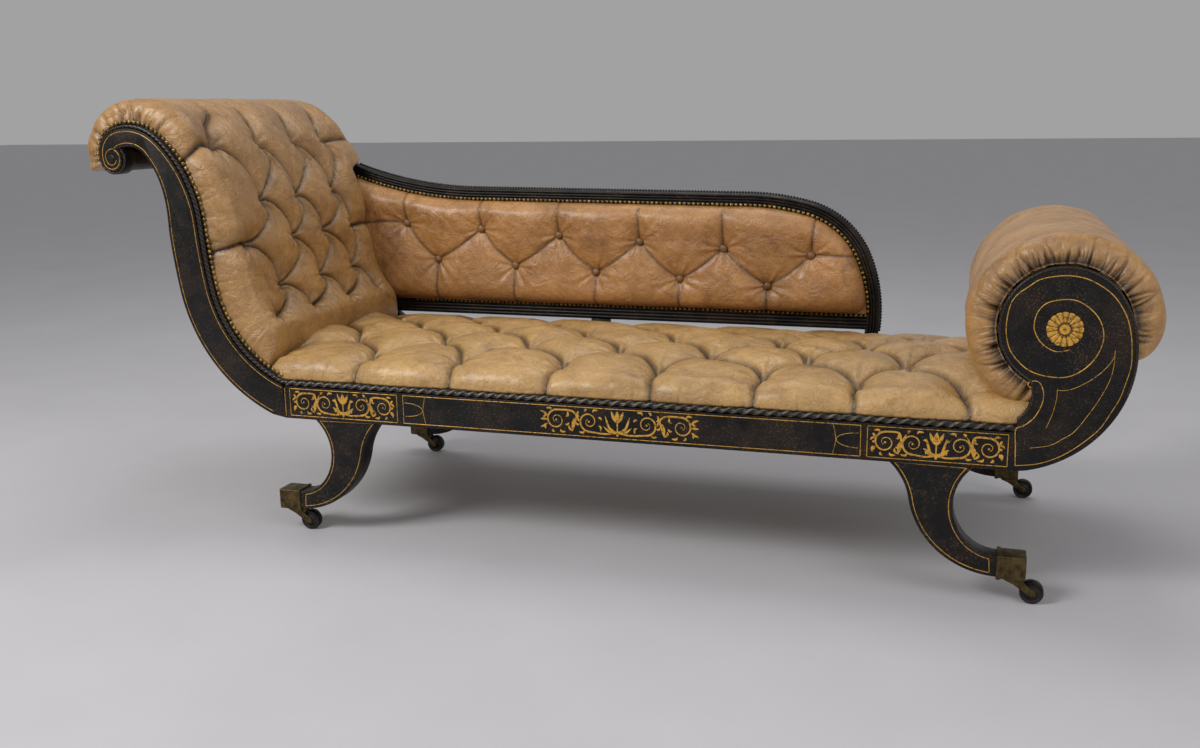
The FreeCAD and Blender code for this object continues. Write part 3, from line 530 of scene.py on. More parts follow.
def blurred(values, columns, spread):
    """A grid of values, given in rows of so many columns, smoothed over this many grid steps."""
    sheet = values.reshape(-1, columns)
    reach = max(1, int(ceil(2.5 * spread)))
    weights = np.exp(-0.5 * (np.arange(-reach, reach + 1) / spread) ** 2)
    weights /= weights.sum()
    for axis in (0, 1):
        padding = [(0, 0), (0, 0)]
        padding[axis] = (reach, reach)
        padded = np.pad(sheet, padding, mode="edge")
        sheet = sum(weight * np.take(padded, np.arange(index, index + sheet.shape[axis]), axis=axis)
                    for index, weight in enumerate(weights))
    return sheet.reshape(-1)


def pleats(along, inward, spacing, seed, width, depth, length):
    """Irregular gathers at an edge: how far they sink, and how much painted shade lies in them, along and in
    from it.
    """
    state = np.random.RandomState(seed)
    sink = np.zeros(len(along))
    dark = np.zeros(len(along))
    place = float(along.min())
    while place < float(along.max()):
        wide = width * state.uniform(0.6, 1.5)
        deep = depth * state.uniform(0.25, 1.25)
        long = length * state.uniform(0.45, 1.5)
        slant = state.uniform(-0.35, 0.35)
        near = (np.abs(along - place) < 0.03) & (inward < 2.2 * long)
        across = along[near] - place - slant * inward[near]
        fade = fading(np.maximum(inward[near], 0), long, 2.2)
        sink[near] += deep * fading(across, wide, 2) * fade
        # Painted shade along the middle of each gather.
        dark[near] = np.maximum(dark[near], fading(across, 0.45 * wide, 2) * fade * deep / depth)
        place += spacing * state.uniform(0.45, 1.6)
    return sink, np.clip(dark, 0, 1)


def ripple(plan, wavelength, amount, seed):
    """A slow unevenness, from a few waves in fixed directions."""
    waves = np.zeros(len(plan))
    state = np.random.RandomState(seed)
    for angle, phase, scale in zip(state.uniform(0, pi, 6), state.uniform(0, 2 * pi, 6),
                                   state.uniform(0.6, 1.5, 6)):
        across = plan[:, 0] * cos(angle) + plan[:, 1] * sin(angle)
        waves += np.sin(across * 2 * pi / (wavelength * scale) + phase)
    return amount * waves / 6


def polar_about(plan, node):
    away = plan - np.asarray(node)
    return np.hypot(away[:, 0], away[:, 1]), np.arctan2(away[:, 1], away[:, 0])


class Tufting:
    """Folds and buttoned points of deep buttoning, on the flat plan of a padded surface.

    Each fold is directed so that the puff that laps over it lies on its left."""

    def __init__(self, folds, nodes, reach, depth, dip, dip_reach):
        self.folds = [flow(fold, 0.010) for fold in folds]
        self.nodes, self.reach, self.depth, self.dip, self.dip_reach = nodes, reach, depth, dip, dip_reach

    def shape(self, plan, columns):
        """How far each point stands from the plain surface, and how deep in a fold it is, for the painted
        shade of the folds.
        """
        gap, side = far_from(plan, self.folds)
        softer = blurred(gap, columns, 5.0)
        gap_round = gap + (softer - gap) * part_way(gap, 0.0, 0.012)
        share = part_way(gap_round, 0.0, self.reach)
        steep = (1 - (1 - share) ** 2.4) ** 0.52
        gentle = (1 - (1 - share) ** 2.0) ** 0.70
        rise = self.depth * (np.where(side > 0, steep, gentle) - 1)
        # Painted shade: darkest on the line of a fold, fading beside it.
        crease = fading(gap, 0.0030, 1.3) + 0.22 * fading(gap, 0.012)
        for index, node in enumerate(self.nodes):
            far, angle = polar_about(plan, node)
            near = far < self.dip_reach * 5
            far, angle = far[near], angle[near]
            star = np.cos(7 * angle + 1.7 * index) + 0.7 * np.cos(12 * angle + 0.9 * index)
            fade = fading(far, self.dip_reach * 2.2, 2) * np.minimum(1, far / 0.006)
            rise[near] += 0.0016 * star * fade - self.dip * fading(far, self.dip_reach, 2)
            # Painted shade in each button dimple and in the star of wrinkles round it.
            crease[near] = np.maximum(crease[near], fading(far, 0.006, 2))
            crease[near] += 0.20 * np.maximum(0, -star) * fade
        return rise, np.clip(crease, 0, 1)


SEAT_NEAR_ROW = [-0.708, -0.515, -0.334, -0.139, 0.046, 0.245, 0.410, 0.590]
SEAT_FAR_ROW = [-0.615, -0.425, -0.238, -0.045, 0.142, 0.325, 0.500]
SEAT_ROWS = [(-0.243, SEAT_NEAR_ROW), (-0.140, SEAT_FAR_ROW), (-0.030, SEAT_NEAR_ROW),
             (0.075, SEAT_FAR_ROW), (0.180, SEAT_NEAR_ROW)]
SEAT_PLEAT_FEET = [-0.720, -0.528, -0.331, -0.138, 0.059, 0.243, 0.415, 0.600]
HEAD_ROWS = [(0.490, [-0.228, -0.092, 0.046, 0.176]), (0.395, [-0.166, -0.026, 0.108]),
             (0.308, [-0.244, -0.092, 0.040, 0.166]), (0.212, [-0.166, -0.020, 0.130]),
             (0.125, [-0.240, -0.095, 0.050, 0.175])]
HEAD_CREST_FOLDS = (-0.150, -0.045, 0.095, 0.225)
UPPER_BUTTONS = [(MIDDLE - 0.684 + 0.189 * index, 0.560 - 0.011 * index) for index in range(6)]
LOWER_BUTTONS = [(MIDDLE - 0.607 + 0.194 * index, 0.477 - 0.010 * index) for index in range(5)]


def seat_tufting():
    rows = [[(x + 0.011 * sin(5.1 * index + 37 * x), s + 0.010 * sin(29 * x + 2 * index)) for x in places]
            for index, (s, places) in enumerate(SEAT_ROWS)]
    folds = []
    for near, far in zip(rows, rows[1:]):
        for x, s in near:
            for other_x, other_s in far:
                gap = other_x - x
                if abs(gap) > 0.13:
                    continue
                bow = 0.10 * sin(53 * x + 31 * other_x)
                middle = (x + (0.34 + bow) * gap, s + (0.64 + bow) * (other_s - s))
                folds.append([(other_x, other_s), middle, (x, s)])
    for (x, s), foot in zip(rows[0], SEAT_PLEAT_FEET):
        folds.append([(x, s), (x * 0.5 + foot * 0.5 - 0.004, -0.275), (foot, -0.305), (foot, -0.345)])
    for x, s in rows[-1]:
        folds.append([(x, s), (x + 0.004, 0.24), (x, 0.315)])
    return Tufting(folds, sum(rows, []), 0.060, sizes().seat_tuft_depth, 0.010, 0.016)


def head_tufting():
    def node(run, y):
        return (run + 0.006 * sin(47 * y), y)

    rows = [(run, [y + 0.008 * sin(61 * y + 7 * index) for y in places])
            for index, (run, places) in enumerate(HEAD_ROWS)]
    nodes = [node(run, y) for run, places in rows for y in places]
    folds = []
    for (run, places), (below, others) in zip(rows, rows[1:]):
        drop = below - run
        for y in places:
            for other in others:
                gap = other - y
                if abs(gap) > 0.11:
                    continue
                bends = [(run + 0.36 * drop, y + 0.012), (run + 0.75 * drop, y + 0.42 * gap)]
                if gap > 0:
                    bends = [(run + 0.12 * drop, y + 0.45 * gap), (run + 0.45 * drop, y + 0.86 * gap)]
                folds.append([node(run, y), *bends, node(below, other)])
    top, places = rows[0]
    for y, crest in zip(places, HEAD_CREST_FOLDS):
        folds.append([(0.585, crest - 0.004), (0.565, crest - 0.01), (0.530, y + 0.015), (top, y)])
    for run, places in rows[:4:2]:
        folds.append([(run, places[0]), (run + 0.008, -0.275), (run - 0.004, -0.345)])
        folds.append([(run, places[-1]), (run + 0.004, 0.235), (run, 0.285)])
    return Tufting(folds, nodes, 0.046, sizes().head_tuft_depth, 0.009, 0.015)


def flat_grid(bm, along, across):
    """A grid of points, with the places from 0 to 1 that they have along it and across it."""
    made = bmesh.ops.create_grid(bm, x_segments=along, y_segments=across, size=1.0)["verts"]
    return made, np.array([vert.co[:2] for vert in made]) * 0.5 + 0.5


def pad_from(along, across, u_range, s_range, base, shape, limit=None):
    """A padded form: its surface laid from a flat plan and shaped."""
    bm = bmesh.new()
    made, flat = flat_grid(bm, along, across)
    plan = np.stack([u_range[0] + (u_range[1] - u_range[0]) * flat[:, 0],
                     s_range[0] + (s_range[1] - s_range[0]) * flat[:, 1]], 1)
    spots, out = base(plan[:, 0], plan[:, 1])
    rise, crease = shape(plan, along + 1)
    spots = spots + out * rise[:, None]
    if limit:
        spots = limit(spots)
    for vert, spot in zip(made, spots):
        vert.co = spot
    return bm, crease


def close_under(bm, settle, columns=0):
    """Closes a padded sheet with an underside: settle moves the new rim inwards and under.

    A scrolled sheet, given by its number of columns, is closed by straight faces between its sides.
    """
    side = bm.verts.layers.int.new("side")
    far_side = len(bm.verts) - columns
    for index, vert in enumerate(bm.verts):
        vert[side] = 1 if index < columns else 2 if columns and index >= far_side else 0
    drawn_in(bm, settle)
    if columns:
        sides = [edge for edge in boundary(bm)
                 if edge.verts[0][side] > 0 and edge.verts[0][side] == edge.verts[1][side]]
        bmesh.ops.bridge_loops(bm, edges=sides)
    bm.verts.layers.int.remove(side)
    capped(bm)


def padded_piece(name, bm, crease, look, stands_for):
    piece = finished(name, bm, look, stands_for, smooth=0)
    values = np.zeros(len(piece.data.vertices), dtype=np.float32)
    values[:len(crease)] = crease
    mark(piece, "crease", values)
    return piece


# Finishes

def colour(code):
    """A colour written as six hexadecimal digits, as the light that it reflects."""
    parts = [int(code[index:index + 2], 16) / 255 for index in (0, 2, 4)]
    return tuple(part / 12.92 if part <= 0.04045 else ((part + 0.055) / 1.055) ** 2.4 for part in parts)


class Finish:
    """A material being put together from nodes."""

    def __init__(self, name, roughness=0.5, metallic=0.0, coat=0.0, coat_roughness=0.03, specular=0.5):
        self.material = bpy.data.materials.new(name)
        self.material.use_nodes = True
        self.tree = self.material.node_tree
        self.shader = next(node for node in self.tree.nodes if node.type == "BSDF_PRINCIPLED")
        self.shader.inputs["Roughness"].default_value = roughness
        self.shader.inputs["Metallic"].default_value = metallic
        self.shader.inputs["Coat Weight"].default_value = coat
        self.shader.inputs["Coat Roughness"].default_value = coat_roughness
        self.shader.inputs["Specular IOR Level"].default_value = specular
        self.spot = self.add("ShaderNodeTexCoord", {}).outputs["Object"]
        self.relief = None

    def add(self, kind, inputs, **settings):
        """Adds a node: each of its inputs is given a number, a colour or another node's output."""
        node = self.tree.nodes.new(kind)
        for name, value in settings.items():
            setattr(node, name, value)
        for name, source in inputs.items():
            self.join(source, node.inputs[name])
        return node

    def join(self, source, target):
        if isinstance(source, (int, float)):
            target.default_value = source
        elif isinstance(source, tuple):
            target.default_value = (*source, 1.0) if target.type == "RGBA" else source
        else:
            self.tree.links.new(source, target)

    def stretched(self, scale):
        return self.add("ShaderNodeMapping", {"Scale": scale, "Vector": self.spot}).outputs["Vector"]

    def noise(self, scale, detail, rough, spot=None, distortion=0.0):
        return self.add("ShaderNodeTexNoise", {
            "Scale": scale, "Detail": detail, "Roughness": rough, "Distortion": distortion,
            "Vector": spot or self.spot}).outputs["Fac"]

    def limits(self, source, low, high, to_low=0.0, to_high=1.0):
        return self.add("ShaderNodeMapRange", {
            "From Min": low, "From Max": high, "To Min": to_low, "To Max": to_high,
            "Value": source}).outputs["Result"]

    def mix(self, share, first, second):
        return self.add("ShaderNodeMix", {0: share, 6: first, 7: second}, data_type="RGBA").outputs[2]

    def sum(self, operation, first, second):
        return self.add("ShaderNodeMath", {0: first, 1: second}, operation=operation).outputs[0]

    def over(self, base, share, strength, code):
        """Lays another colour over a part of the base, where the share is."""
        return self.mix(self.sum("MULTIPLY", share, strength), base, colour(code))

    def mark(self, name):
        node = self.add("ShaderNodeAttribute", {}, attribute_type="GEOMETRY", attribute_name=name)
        return node.outputs["Fac"]

    def bump(self, height, strength, distance):
        below = {"Normal": self.relief} if self.relief else {}
        self.relief = self.add("ShaderNodeBump", {
            "Strength": strength, "Distance": distance, "Height": height, **below}).outputs["Normal"]

    def done(self, base, roughness=None):
        self.join(base, self.shader.inputs["Base Color"])
        if roughness is not None:
            self.join(roughness, self.shader.inputs["Roughness"])
        if self.relief:
            self.join(self.relief, self.shader.inputs["Normal"])
        return self.material


def leather(name, tone, dark):
    """Aged hide: clouded colour, painted shade in the folds, with a fine grain and a soft shine."""
    recipe = Finish(name, coat=0.22, coat_roughness=0.24)
    cloud = recipe.limits(recipe.noise(5.0, 5.0, 0.6), 0.36, 0.62)
    patches = recipe.limits(recipe.noise(16.0, 5.0, 0.65), 0.42, 0.70)
    specks = recipe.limits(recipe.noise(210.0, 3.0, 0.6), 0.46, 0.66)
    stains = recipe.limits(recipe.noise(9.0, 6.0, 0.7, distortion=1.2), 0.54, 0.68)
    base = recipe.mix(cloud, tuple(tone), tuple(min(1.0, part * 1.28) for part in tone))
    base = recipe.over(base, patches, 0.50, dark)
    base = recipe.over(base, stains, 0.45, "62401F")
    base = recipe.over(base, specks, 0.24, dark)
    # Painted shade: near black laid where the crease mark is, mostly in the folds, the gathers and the tucked
    # edges.
    base = recipe.over(base, recipe.mark("crease"), 0.95, "170C06")
    cells = recipe.add("ShaderNodeTexVoronoi", {"Scale": 620.0, "Vector": recipe.spot})
    recipe.bump(recipe.noise(34.0, 6.0, 0.62, distortion=1.8), 0.60, 0.008)
    recipe.bump(cells.outputs["Distance"], 0.18, 0.0008)
    return recipe.done(base, recipe.limits(recipe.noise(26.0, 5.0, 0.65), 0.3, 0.7, 0.26, 0.48))


def ebonised(tone):
    """Black painted wood, worn to brown and grey in specks and along the grain."""
    recipe = Finish("ebonised_wood", coat=0.08, coat_roughness=0.28, specular=0.20)
    grain = recipe.noise(60.0, 6.0, 0.7, spot=recipe.stretched((0.25, 1.0, 1.0)))
    specks = recipe.limits(recipe.noise(300.0, 5.0, 0.75), 0.54, 0.64)
    patches = recipe.limits(recipe.noise(18.0, 5.0, 0.7), 0.38, 0.62)
    worn = recipe.limits(recipe.noise(9.0, 6.0, 0.75), 0.48, 0.64)
    base = recipe.mix(recipe.limits(grain, 0.35, 0.7), tuple(tone), colour("141211"))
    base = recipe.over(base, worn, 0.60, "2E2016")
    base = recipe.over(base, specks, patches, "5E5244")
    recipe.bump(grain, 0.14, 0.0018)
    recipe.bump(recipe.noise(300.0, 3.0, 0.6), 0.16, 0.0008)
    return recipe.done(base, recipe.limits(recipe.noise(40.0, 5.0, 0.6), 0.3, 0.7, 0.30, 0.56))


def rope_wood(name, base_code, highlight_code):
    """The black twisted moulding, with a painted highlight in patches on the tops of its ridges."""
    recipe = Finish(name, roughness=0.42, coat=0.12, specular=0.35)
    ridge = recipe.limits(recipe.mark("ridge"), 0.60, 1.0)
    ridge_highlight_patches = recipe.limits(recipe.noise(90.0, 4.0, 0.7), 0.34, 0.60)
    # Painted highlight: the tops of the strands are paler, in patches.
    base = recipe.over(colour(base_code), ridge, ridge_highlight_patches, highlight_code)
    recipe.bump(recipe.noise(350.0, 3.0, 0.6), 0.15, 0.0006)
    return recipe.done(base)


def gilding(tone):
    """Rubbed gold paint, thin in places and dark in its grooves."""
    recipe = Finish("gilding", roughness=0.42, metallic=0.30)
    thin = recipe.limits(recipe.noise(170.0, 5.0, 0.75), 0.50, 0.62)
    cloud = recipe.limits(recipe.noise(25.0, 3.0, 0.6), 0.3, 0.7)
    dull, bright = tuple(part * 0.75 for part in tone), tuple(min(1.0, part * 1.2) for part in tone)
    base = recipe.mix(cloud, dull, bright)
    base = recipe.over(base, thin, 0.85, "2A1E10")
    base = recipe.over(base, recipe.mark("groove"), 0.9, "24180C")
    recipe.bump(recipe.noise(260.0, 3.0, 0.6), 0.2, 0.0006)
    return recipe.done(base)


def brass(name, bright, dark, smoothest=0.36, roughest=0.60):
    """Cast brass with a dark patina."""
    recipe = Finish(name, metallic=0.80)
    tone = recipe.limits(recipe.noise(70.0, 6.0, 0.7), 0.36, 0.66)
    base = recipe.mix(tone, colour(dark), tuple(bright))
    recipe.bump(recipe.noise(200.0, 4.0, 0.6), 0.25, 0.0008)
    return recipe.done(base, recipe.limits(recipe.noise(90.0, 4.0, 0.6), 0.3, 0.7, smoothest, roughest))


def beech():
    """Bare sawn beech: fine straight grain with short flecks."""
    recipe = Finish("bare_beech", roughness=0.7)
    grain = recipe.noise(90.0, 6.0, 0.65, spot=recipe.stretched((0.12, 0.12, 1.0)))
    flecks = recipe.limits(recipe.noise(500.0, 2.0, 0.5, spot=recipe.stretched((0.3, 0.3, 1.0))), 0.58, 0.7)
    base = recipe.mix(recipe.limits(grain, 0.3, 0.7), colour("B08A5E"), colour("C9A678"))
    recipe.bump(grain, 0.2, 0.001)
    return recipe.done(recipe.over(base, flecks, 0.5, "8C6540"))


def woven(name, light, dark, pitch):
    """A plain weave of coarse yarn."""
    recipe = Finish(name, roughness=0.9)
    waves = [recipe.add("ShaderNodeTexWave",
                        {"Scale": 2 * pi / (20 * pitch), "Distortion": 0.6, "Vector": recipe.spot},
                        wave_type="BANDS", bands_direction=axis).outputs["Fac"] for axis in ("X", "Y")]
    weave = recipe.sum("MAXIMUM", *waves)
    slub = recipe.limits(recipe.noise(120.0, 4.0, 0.6), 0.4, 0.7)
    base = recipe.mix(weave, colour(dark), colour(light))
    recipe.bump(weave, 0.4, 0.001)
    return recipe.done(recipe.over(base, slub, 0.4, dark))


# The material slot and the maker of each finish.
LOOKS = {
    "seat_leather": ("tan_leather", lambda name, tones: leather(name, tones.seat, "7E5A30")),
    "head_leather": ("tan_leather", lambda name, tones: leather(name, tones.head, "764E28")),
    "back_leather": ("tan_leather", lambda name, tones: leather(name, tones.back, "70431F")),
    "arm_leather": ("tan_leather", lambda name, tones: leather(name, tones.arm, "784F2B")),
    "button_leather": ("tan_leather", lambda name, tones: leather(name, colour("7A5530"), "3E2812")),
    "ebonised_wood": ("ebonised_wood", lambda name, tones: ebonised(tones.wood)),
    # The paler second colour of both rope mouldings is a painted highlight on their ridges.
    "rubbed_moulding": ("moulding_wood", lambda name, tones: rope_wood(name, "14110F", "7C6E5A")),
    "dark_moulding": ("moulding_wood", lambda name, tones: rope_wood(name, "120D0A", "4A382A")),
    "gilding": ("gilt", lambda name, tones: gilding(tones.gilt)),
    "aged_brass": ("aged_brass", lambda name, tones: brass(name, tones.brass, "332A1B")),
    "nail_brass": ("aged_brass", lambda name, tones: brass(name, colour("A88C50"), "4A3820", 0.3, 0.45)),
    "dark_wheel": ("castor_wheel", lambda name, tones: brass(name, colour("3A3834"), "201E1C", 0.4, 0.6)),
    "bare_beech": ("beech", lambda name, tones: beech()),
    "jute_webbing": ("jute_webbing", lambda name, tones: woven(name, "A58A5E", "6A5536", 0.0022)),
    "hessian": ("hessian", lambda name, tones: woven(name, "9C8560", "6E5A3C", 0.0016)),
}
FINISHES = {}


def finish(name):
    """One of the finishes, made the first time that it is asked for."""
    if name not in FINISHES:
        FINISHES[name] = LOOKS[name][1](name, bpy.context.scene.recamier_colours)
    return FINISHES[name]


# Padding

def make_seat():
    tufting = seat_tufting()

    def shape(plan, columns):
        local = plan - np.array([MIDDLE, 0.0])
        x, s = local.T
        rise, crease = tufting.shape(local, columns)
        rise = rise + ripple(local, 0.16, 0.002, 3) + ripple(local, 0.035, 0.0010, 4) + 0.005
        rise = rise * (1 - 0.75 * part_way(np.abs(s), 0.285, 0.335))
        sink, dark = pleats(x, np.clip(0.345 - np.abs(s), 0, 1), 0.020, 31, 0.0022, 0.0016, 0.034)
        end_sink, end_dark = pleats(s, np.clip(0.672 - x, 0, 1), 0.034, 32, 0.0035, 0.0030, 0.060)
        # Painted shade: the button folds and the gathers at the front and at the head end are darkened.
        return rise - sink - end_sink, np.clip(crease + 0.35 * dark + 0.3 * end_dark, 0, 1)

    def limit(spots):
        """Keeps the seat below the bolster and the facings, and above the rail."""
        aside = spots[:, 0] - FACING[0]
        reach = np.where(np.abs(spots[:, 1]) > 0.272, 0.1055, ROLL_RADIUS - 0.002)
        under = np.abs(aside) < reach
        highest = FACING[1] - np.sqrt(reach[under] ** 2 - aside[under] ** 2)
        spots[under, 2] = np.minimum(spots[under, 2], highest)
        spots[:, 2] = np.maximum(spots[:, 2], RAIL_TOP)
        return spots

    def settle(co):
        x = min(max(co.x, SEAT_START + 0.004), SEAT_END - 0.004)
        return Vector((x, co.y * 0.99, RAIL_TOP + 0.0004))

    ends = (-SEAT_MIDDLE, float(SEAT_LENGTHS[-1]) - SEAT_MIDDLE)
    bm, crease = pad_from(370, 170, (SEAT_START, SEAT_END), ends, seat_base, shape, limit)
    close_under(bm, settle)
    padded_piece("seat_cushion", bm, crease, "seat_leather", ["seat_pad"])


def make_head():
    tufting = head_tufting()

    def shape(plan, columns):
        rise, crease = tufting.shape(plan, columns)
        run, s = plan.T
        inward = np.clip(HEAD_SPREAD - np.abs(s), 0, 1)
        crest = 1 - eased(run, 0.547, 0.622)
        foot = part_way(run, 0.060, 0.090)
        curl = part_way(run, 0.50, 0.56)
        rise = (rise + 0.004) * crest * foot + ripple(plan, 0.2, 0.0015, 8) + ripple(plan, 0.03, 0.0012, 9)
        rise *= (1 - 0.7 * part_way(np.abs(s), 0.30, 0.34)) * (1 - 0.55 * part_way(s, 0.22, 0.28))
        sink, dark = pleats(run, inward, 0.0115, 21, 0.0026, 0.0052, 0.042)
        small, faint = pleats(run, inward, 0.020, 22, 0.0030, 0.0018, 0.030)
        tuck, tuck_dark = pleats(s, np.clip(head_path.length - run, 0, 1), 0.022, 23, 0.0040, 0.0030, 0.050)
        across, across_dark = pleats(s, np.abs(run - 0.655), 0.030, 24, 0.0045, 0.0024, 0.035)
        rise -= sink * curl + small * (1 - curl) * foot + tuck + across
        # Painted shade: the folds, the gathers and the tucks are darkened, and a narrow band along both sides
        # where the leather tucks in against the boards.
        crease = crease * crest * foot + dark * curl * 0.8 + faint * 0.25 * (1 - curl)
        crease += 0.6 * fading(inward, 0.006) + 0.5 * tuck_dark + 0.2 * across_dark
        return rise, np.clip(crease, 0, 1)

    columns = 250
    bm, crease = pad_from(columns, 190, (HEAD_COVER_START, head_path.length), (-HEAD_SPREAD, HEAD_SPREAD),
                          head_base, shape)
    close_under(bm, lambda co: Vector((co.x, co.y * 0.99, co.z)), columns + 1)
    padded_piece("head_cushion", bm, crease, "head_leather", ["head_pad"])


# Seed, spacing, width, share of the full depth, length and strength of the painted shade of the gathers of
# the bolster.
ROLL_GATHERS = ((41, 0.014, 0.0024, 1.0, 0.024, 0.9), (42, 0.006, 0.0014, 0.40, 0.017, 0.9),
                (46, 0.045, 0.0060, 1.1, 0.034, 0.45))
# Seed, angle in degrees and spacing of the slack folds round the bolster.
ROLL_FOLDS = ((43, 120, 0.060), (44, 75, 0.085), (45, 170, 0.075))


def make_arm():
    def shape(plan, columns):
        angle, s = plan.T
        inward = np.clip(ROLL_SPREAD - np.abs(s), 0, 1)
        reach = angle * 0.12
        sink, dark, folded, shaded = 0, 0, 0, 0
        for seed, spacing, wide, share, long, darkness in ROLL_GATHERS:
            deep = share * sizes().arm_pleat_depth
            front, front_dark = pleats(reach, inward, spacing, seed, wide, deep, long)
            rear, rear_dark = pleats(reach, inward, spacing, seed + 60, wide, deep, long)
            sink = sink + np.where(s < 0, front, rear)
            # Painted shade in the middle of each gather.
            dark = np.maximum(dark, np.where(s < 0, front_dark, rear_dark) * darkness)
        for seed, middle, spacing in ROLL_FOLDS:
            aside = np.abs(angle - radians(middle)) * 0.12
            fold, shade = pleats(s, aside, spacing, seed, 0.007, 0.0026, 0.075)
            folded = folded + fold
            shaded = shaded + shade
        # Darker towards the ends of the bolster, next to the boards, and uneven along them.
        end_darkening = 0.22 * fading(inward, 0.016) * (1 + ripple(np.stack([reach, s], 1), 0.03, 3.0, 7))
        # Painted shade: a narrow dark rim where the leather tucks in against the boards.
        rim = 0.75 * fading(inward, 0.005)
        local = plan * np.array([0.15, 1.0])
        rise = ripple(local, 0.2, 0.0030, 5) + ripple(local, 0.05, 0.0014, 6)
        return rise - sink - folded, np.clip(0.8 * dark + rim + end_darkening + 0.12 * shaded, 0, 1)

    def settle(co):
        away = Vector((co.x - FACING[0], 0, co.z - FACING[1])).normalized() * 0.1018
        return Vector((FACING[0] + away.x, co.y, FACING[1] + away.z))

    bm, crease = pad_from(440, 130, (ROLL_START, ROLL_START + ROLL_SWEEP), (-ROLL_SPREAD, ROLL_SPREAD),
                          roll_base, shape)
    drawn_in(bm, settle)
    bmesh.ops.recalc_face_normals(bm, faces=bm.faces[:])
    padded_piece("arm_bolster", bm, crease, "arm_leather", ["foot_roll_pad"])


def back_folds():
    """The shallow folds of the back: between its buttons and on to its edges."""
    folds = []
    for index, (x, z) in enumerate(LOWER_BUTTONS):
        for other in UPPER_BUTTONS[index:index + 2]:
            folds.append([(x, z), ((x + other[0]) / 2, (z + other[1]) / 2 - 0.006), other])
        folds.append([(x, z), (x - 0.002, z - 0.05), (x - 0.003, LOWER_RAIL_TOP)])
    for x, z in UPPER_BUTTONS[:-1]:
        folds.append([(x, z), (x - 0.002, z + 0.045), (x - 0.002, z + 0.072)])
    x, z = UPPER_BUTTONS[0]
    folds.append([(x, z), (x - 0.05, z + 0.004), (x - 0.11, z)])
    x, z = UPPER_BUTTONS[-1]
    folds.append([(x, z), (x + 0.06, z + 0.001), (x + 0.12, z - 0.004)])
    folds.append([(x, z), (x + 0.004, z + 0.045), (x + 0.006, z + 0.078)])
    return [flow(fold, 0.01) for fold in folds]


def back_plan(side, top, u, v):
    """Places on the face of the back: u runs along its top edge and v up from the lower rail."""
    line = resampled(top, 0.002)
    lengths = lengths_along(line)
    left_run, right_run = 0.35, 1.30
    left, right = side[0][0], line[-1][0]
    run = u * lengths[-1]
    edge_x, edge_z = (np.interp(run, lengths, values) for values in line.T)
    left_x, right_x = np.interp([left_run, right_run], lengths, line[:, 0])
    low = np.where(run < left_run, left + (left_x - left) * part_way(run, 0.0, left_run), edge_x)
    low = np.where(run < right_run, low, right_x + (right - right_x) * part_way(run, right_run, lengths[-1]))
    return np.stack([low + (edge_x - low) * v, LOWER_RAIL_TOP + (edge_z - LOWER_RAIL_TOP) * v], 1)


def make_back():
    side, top = back_outline()
    bm = bmesh.new()
    made, flat = flat_grid(bm, 400, 100)
    plan = back_plan(side, top, flat[:, 0], 0.55 * flat[:, 1] + 0.45 * (0.5 - 0.5 * np.cos(flat[:, 1] * pi)))
    bottom = [(top[-1][0], LOWER_RAIL_TOP), side[0]]
    rims = [1 - part_way(far_from(plan, [line])[0], 0.0, 0.046) for line in (side, top, bottom)]
    near = np.clip(np.sum([rim ** 3 for rim in rims], axis=0) ** (1 / 3), 0, 1)
    round_off = 0.038 * (1 - np.sqrt(np.maximum(0, 1 - near ** 2.4)))
    gap = far_from(plan, back_folds())[0]
    sink = 0.0055 * fading(gap, 0.018, 1.2) + 0.0018 * fading(gap, 0.003, 2)
    for index, place in enumerate(UPPER_BUTTONS + LOWER_BUTTONS):
        far, angle = polar_about(plan, place)
        star = np.cos(9 * angle + 1.3 * index) + 0.7 * np.cos(14 * angle + 2.1 * index)
        sink += 0.0150 * fading(far, 0.048, 1.3) + 0.004 * fading(far, 0.013, 2)
        sink += 0.0014 * star * fading(far, 0.05, 2) * np.minimum(1, far / 0.012)
    swell = -0.003 + ripple(plan, 0.25, 0.002, 11) + ripple(plan, 0.04, 0.0014, 12)
    deep = BACK_PAD_FACE + round_off + sink * (1 - 0.6 * near) + swell * (1 - near)
    for vert, (x, z), y in zip(made, plan, deep):
        vert.co = (x, y, z)
    bmesh.ops.remove_doubles(bm, verts=bm.verts[:], dist=1e-5)
    close_under(bm, lambda co: Vector((co.x, 0.296, co.z)))
    # Painted shade along the folds between the buttons.
    creases = {key(spot, 4): value for spot, value in zip(plan, fading(gap, 0.0026, 1.5) * 0.85)}
    bm.verts.ensure_lookup_table()
    crease = [creases.get(key((vert.co.x, vert.co.z), 4), 0.0) for vert in bm.verts]
    padded_piece("back_cushion", bm, crease, "back_leather", ["back_pad", "back_webbing"])


def make_buttons():
    bm = bmesh.new()
    profile = [(0.0, 0.004), (0.0088, 0.004), (0.0090, 0.001), (0.0080, -0.0022), (0.0052, -0.0042),
               (0.0, -0.005)]
    for x, z in UPPER_BUTTONS + LOWER_BUTTONS:
        turned(bm, profile, (x, BACK_PAD_FACE + 0.0165, z), 20)
    bmesh.ops.recalc_face_normals(bm, faces=bm.faces[:])
    piece = finished("back_buttons_domed", bm, "button_leather", ["back_buttons"])
    mark(piece, "crease", np.zeros(len(piece.data.vertices)))


# Frame

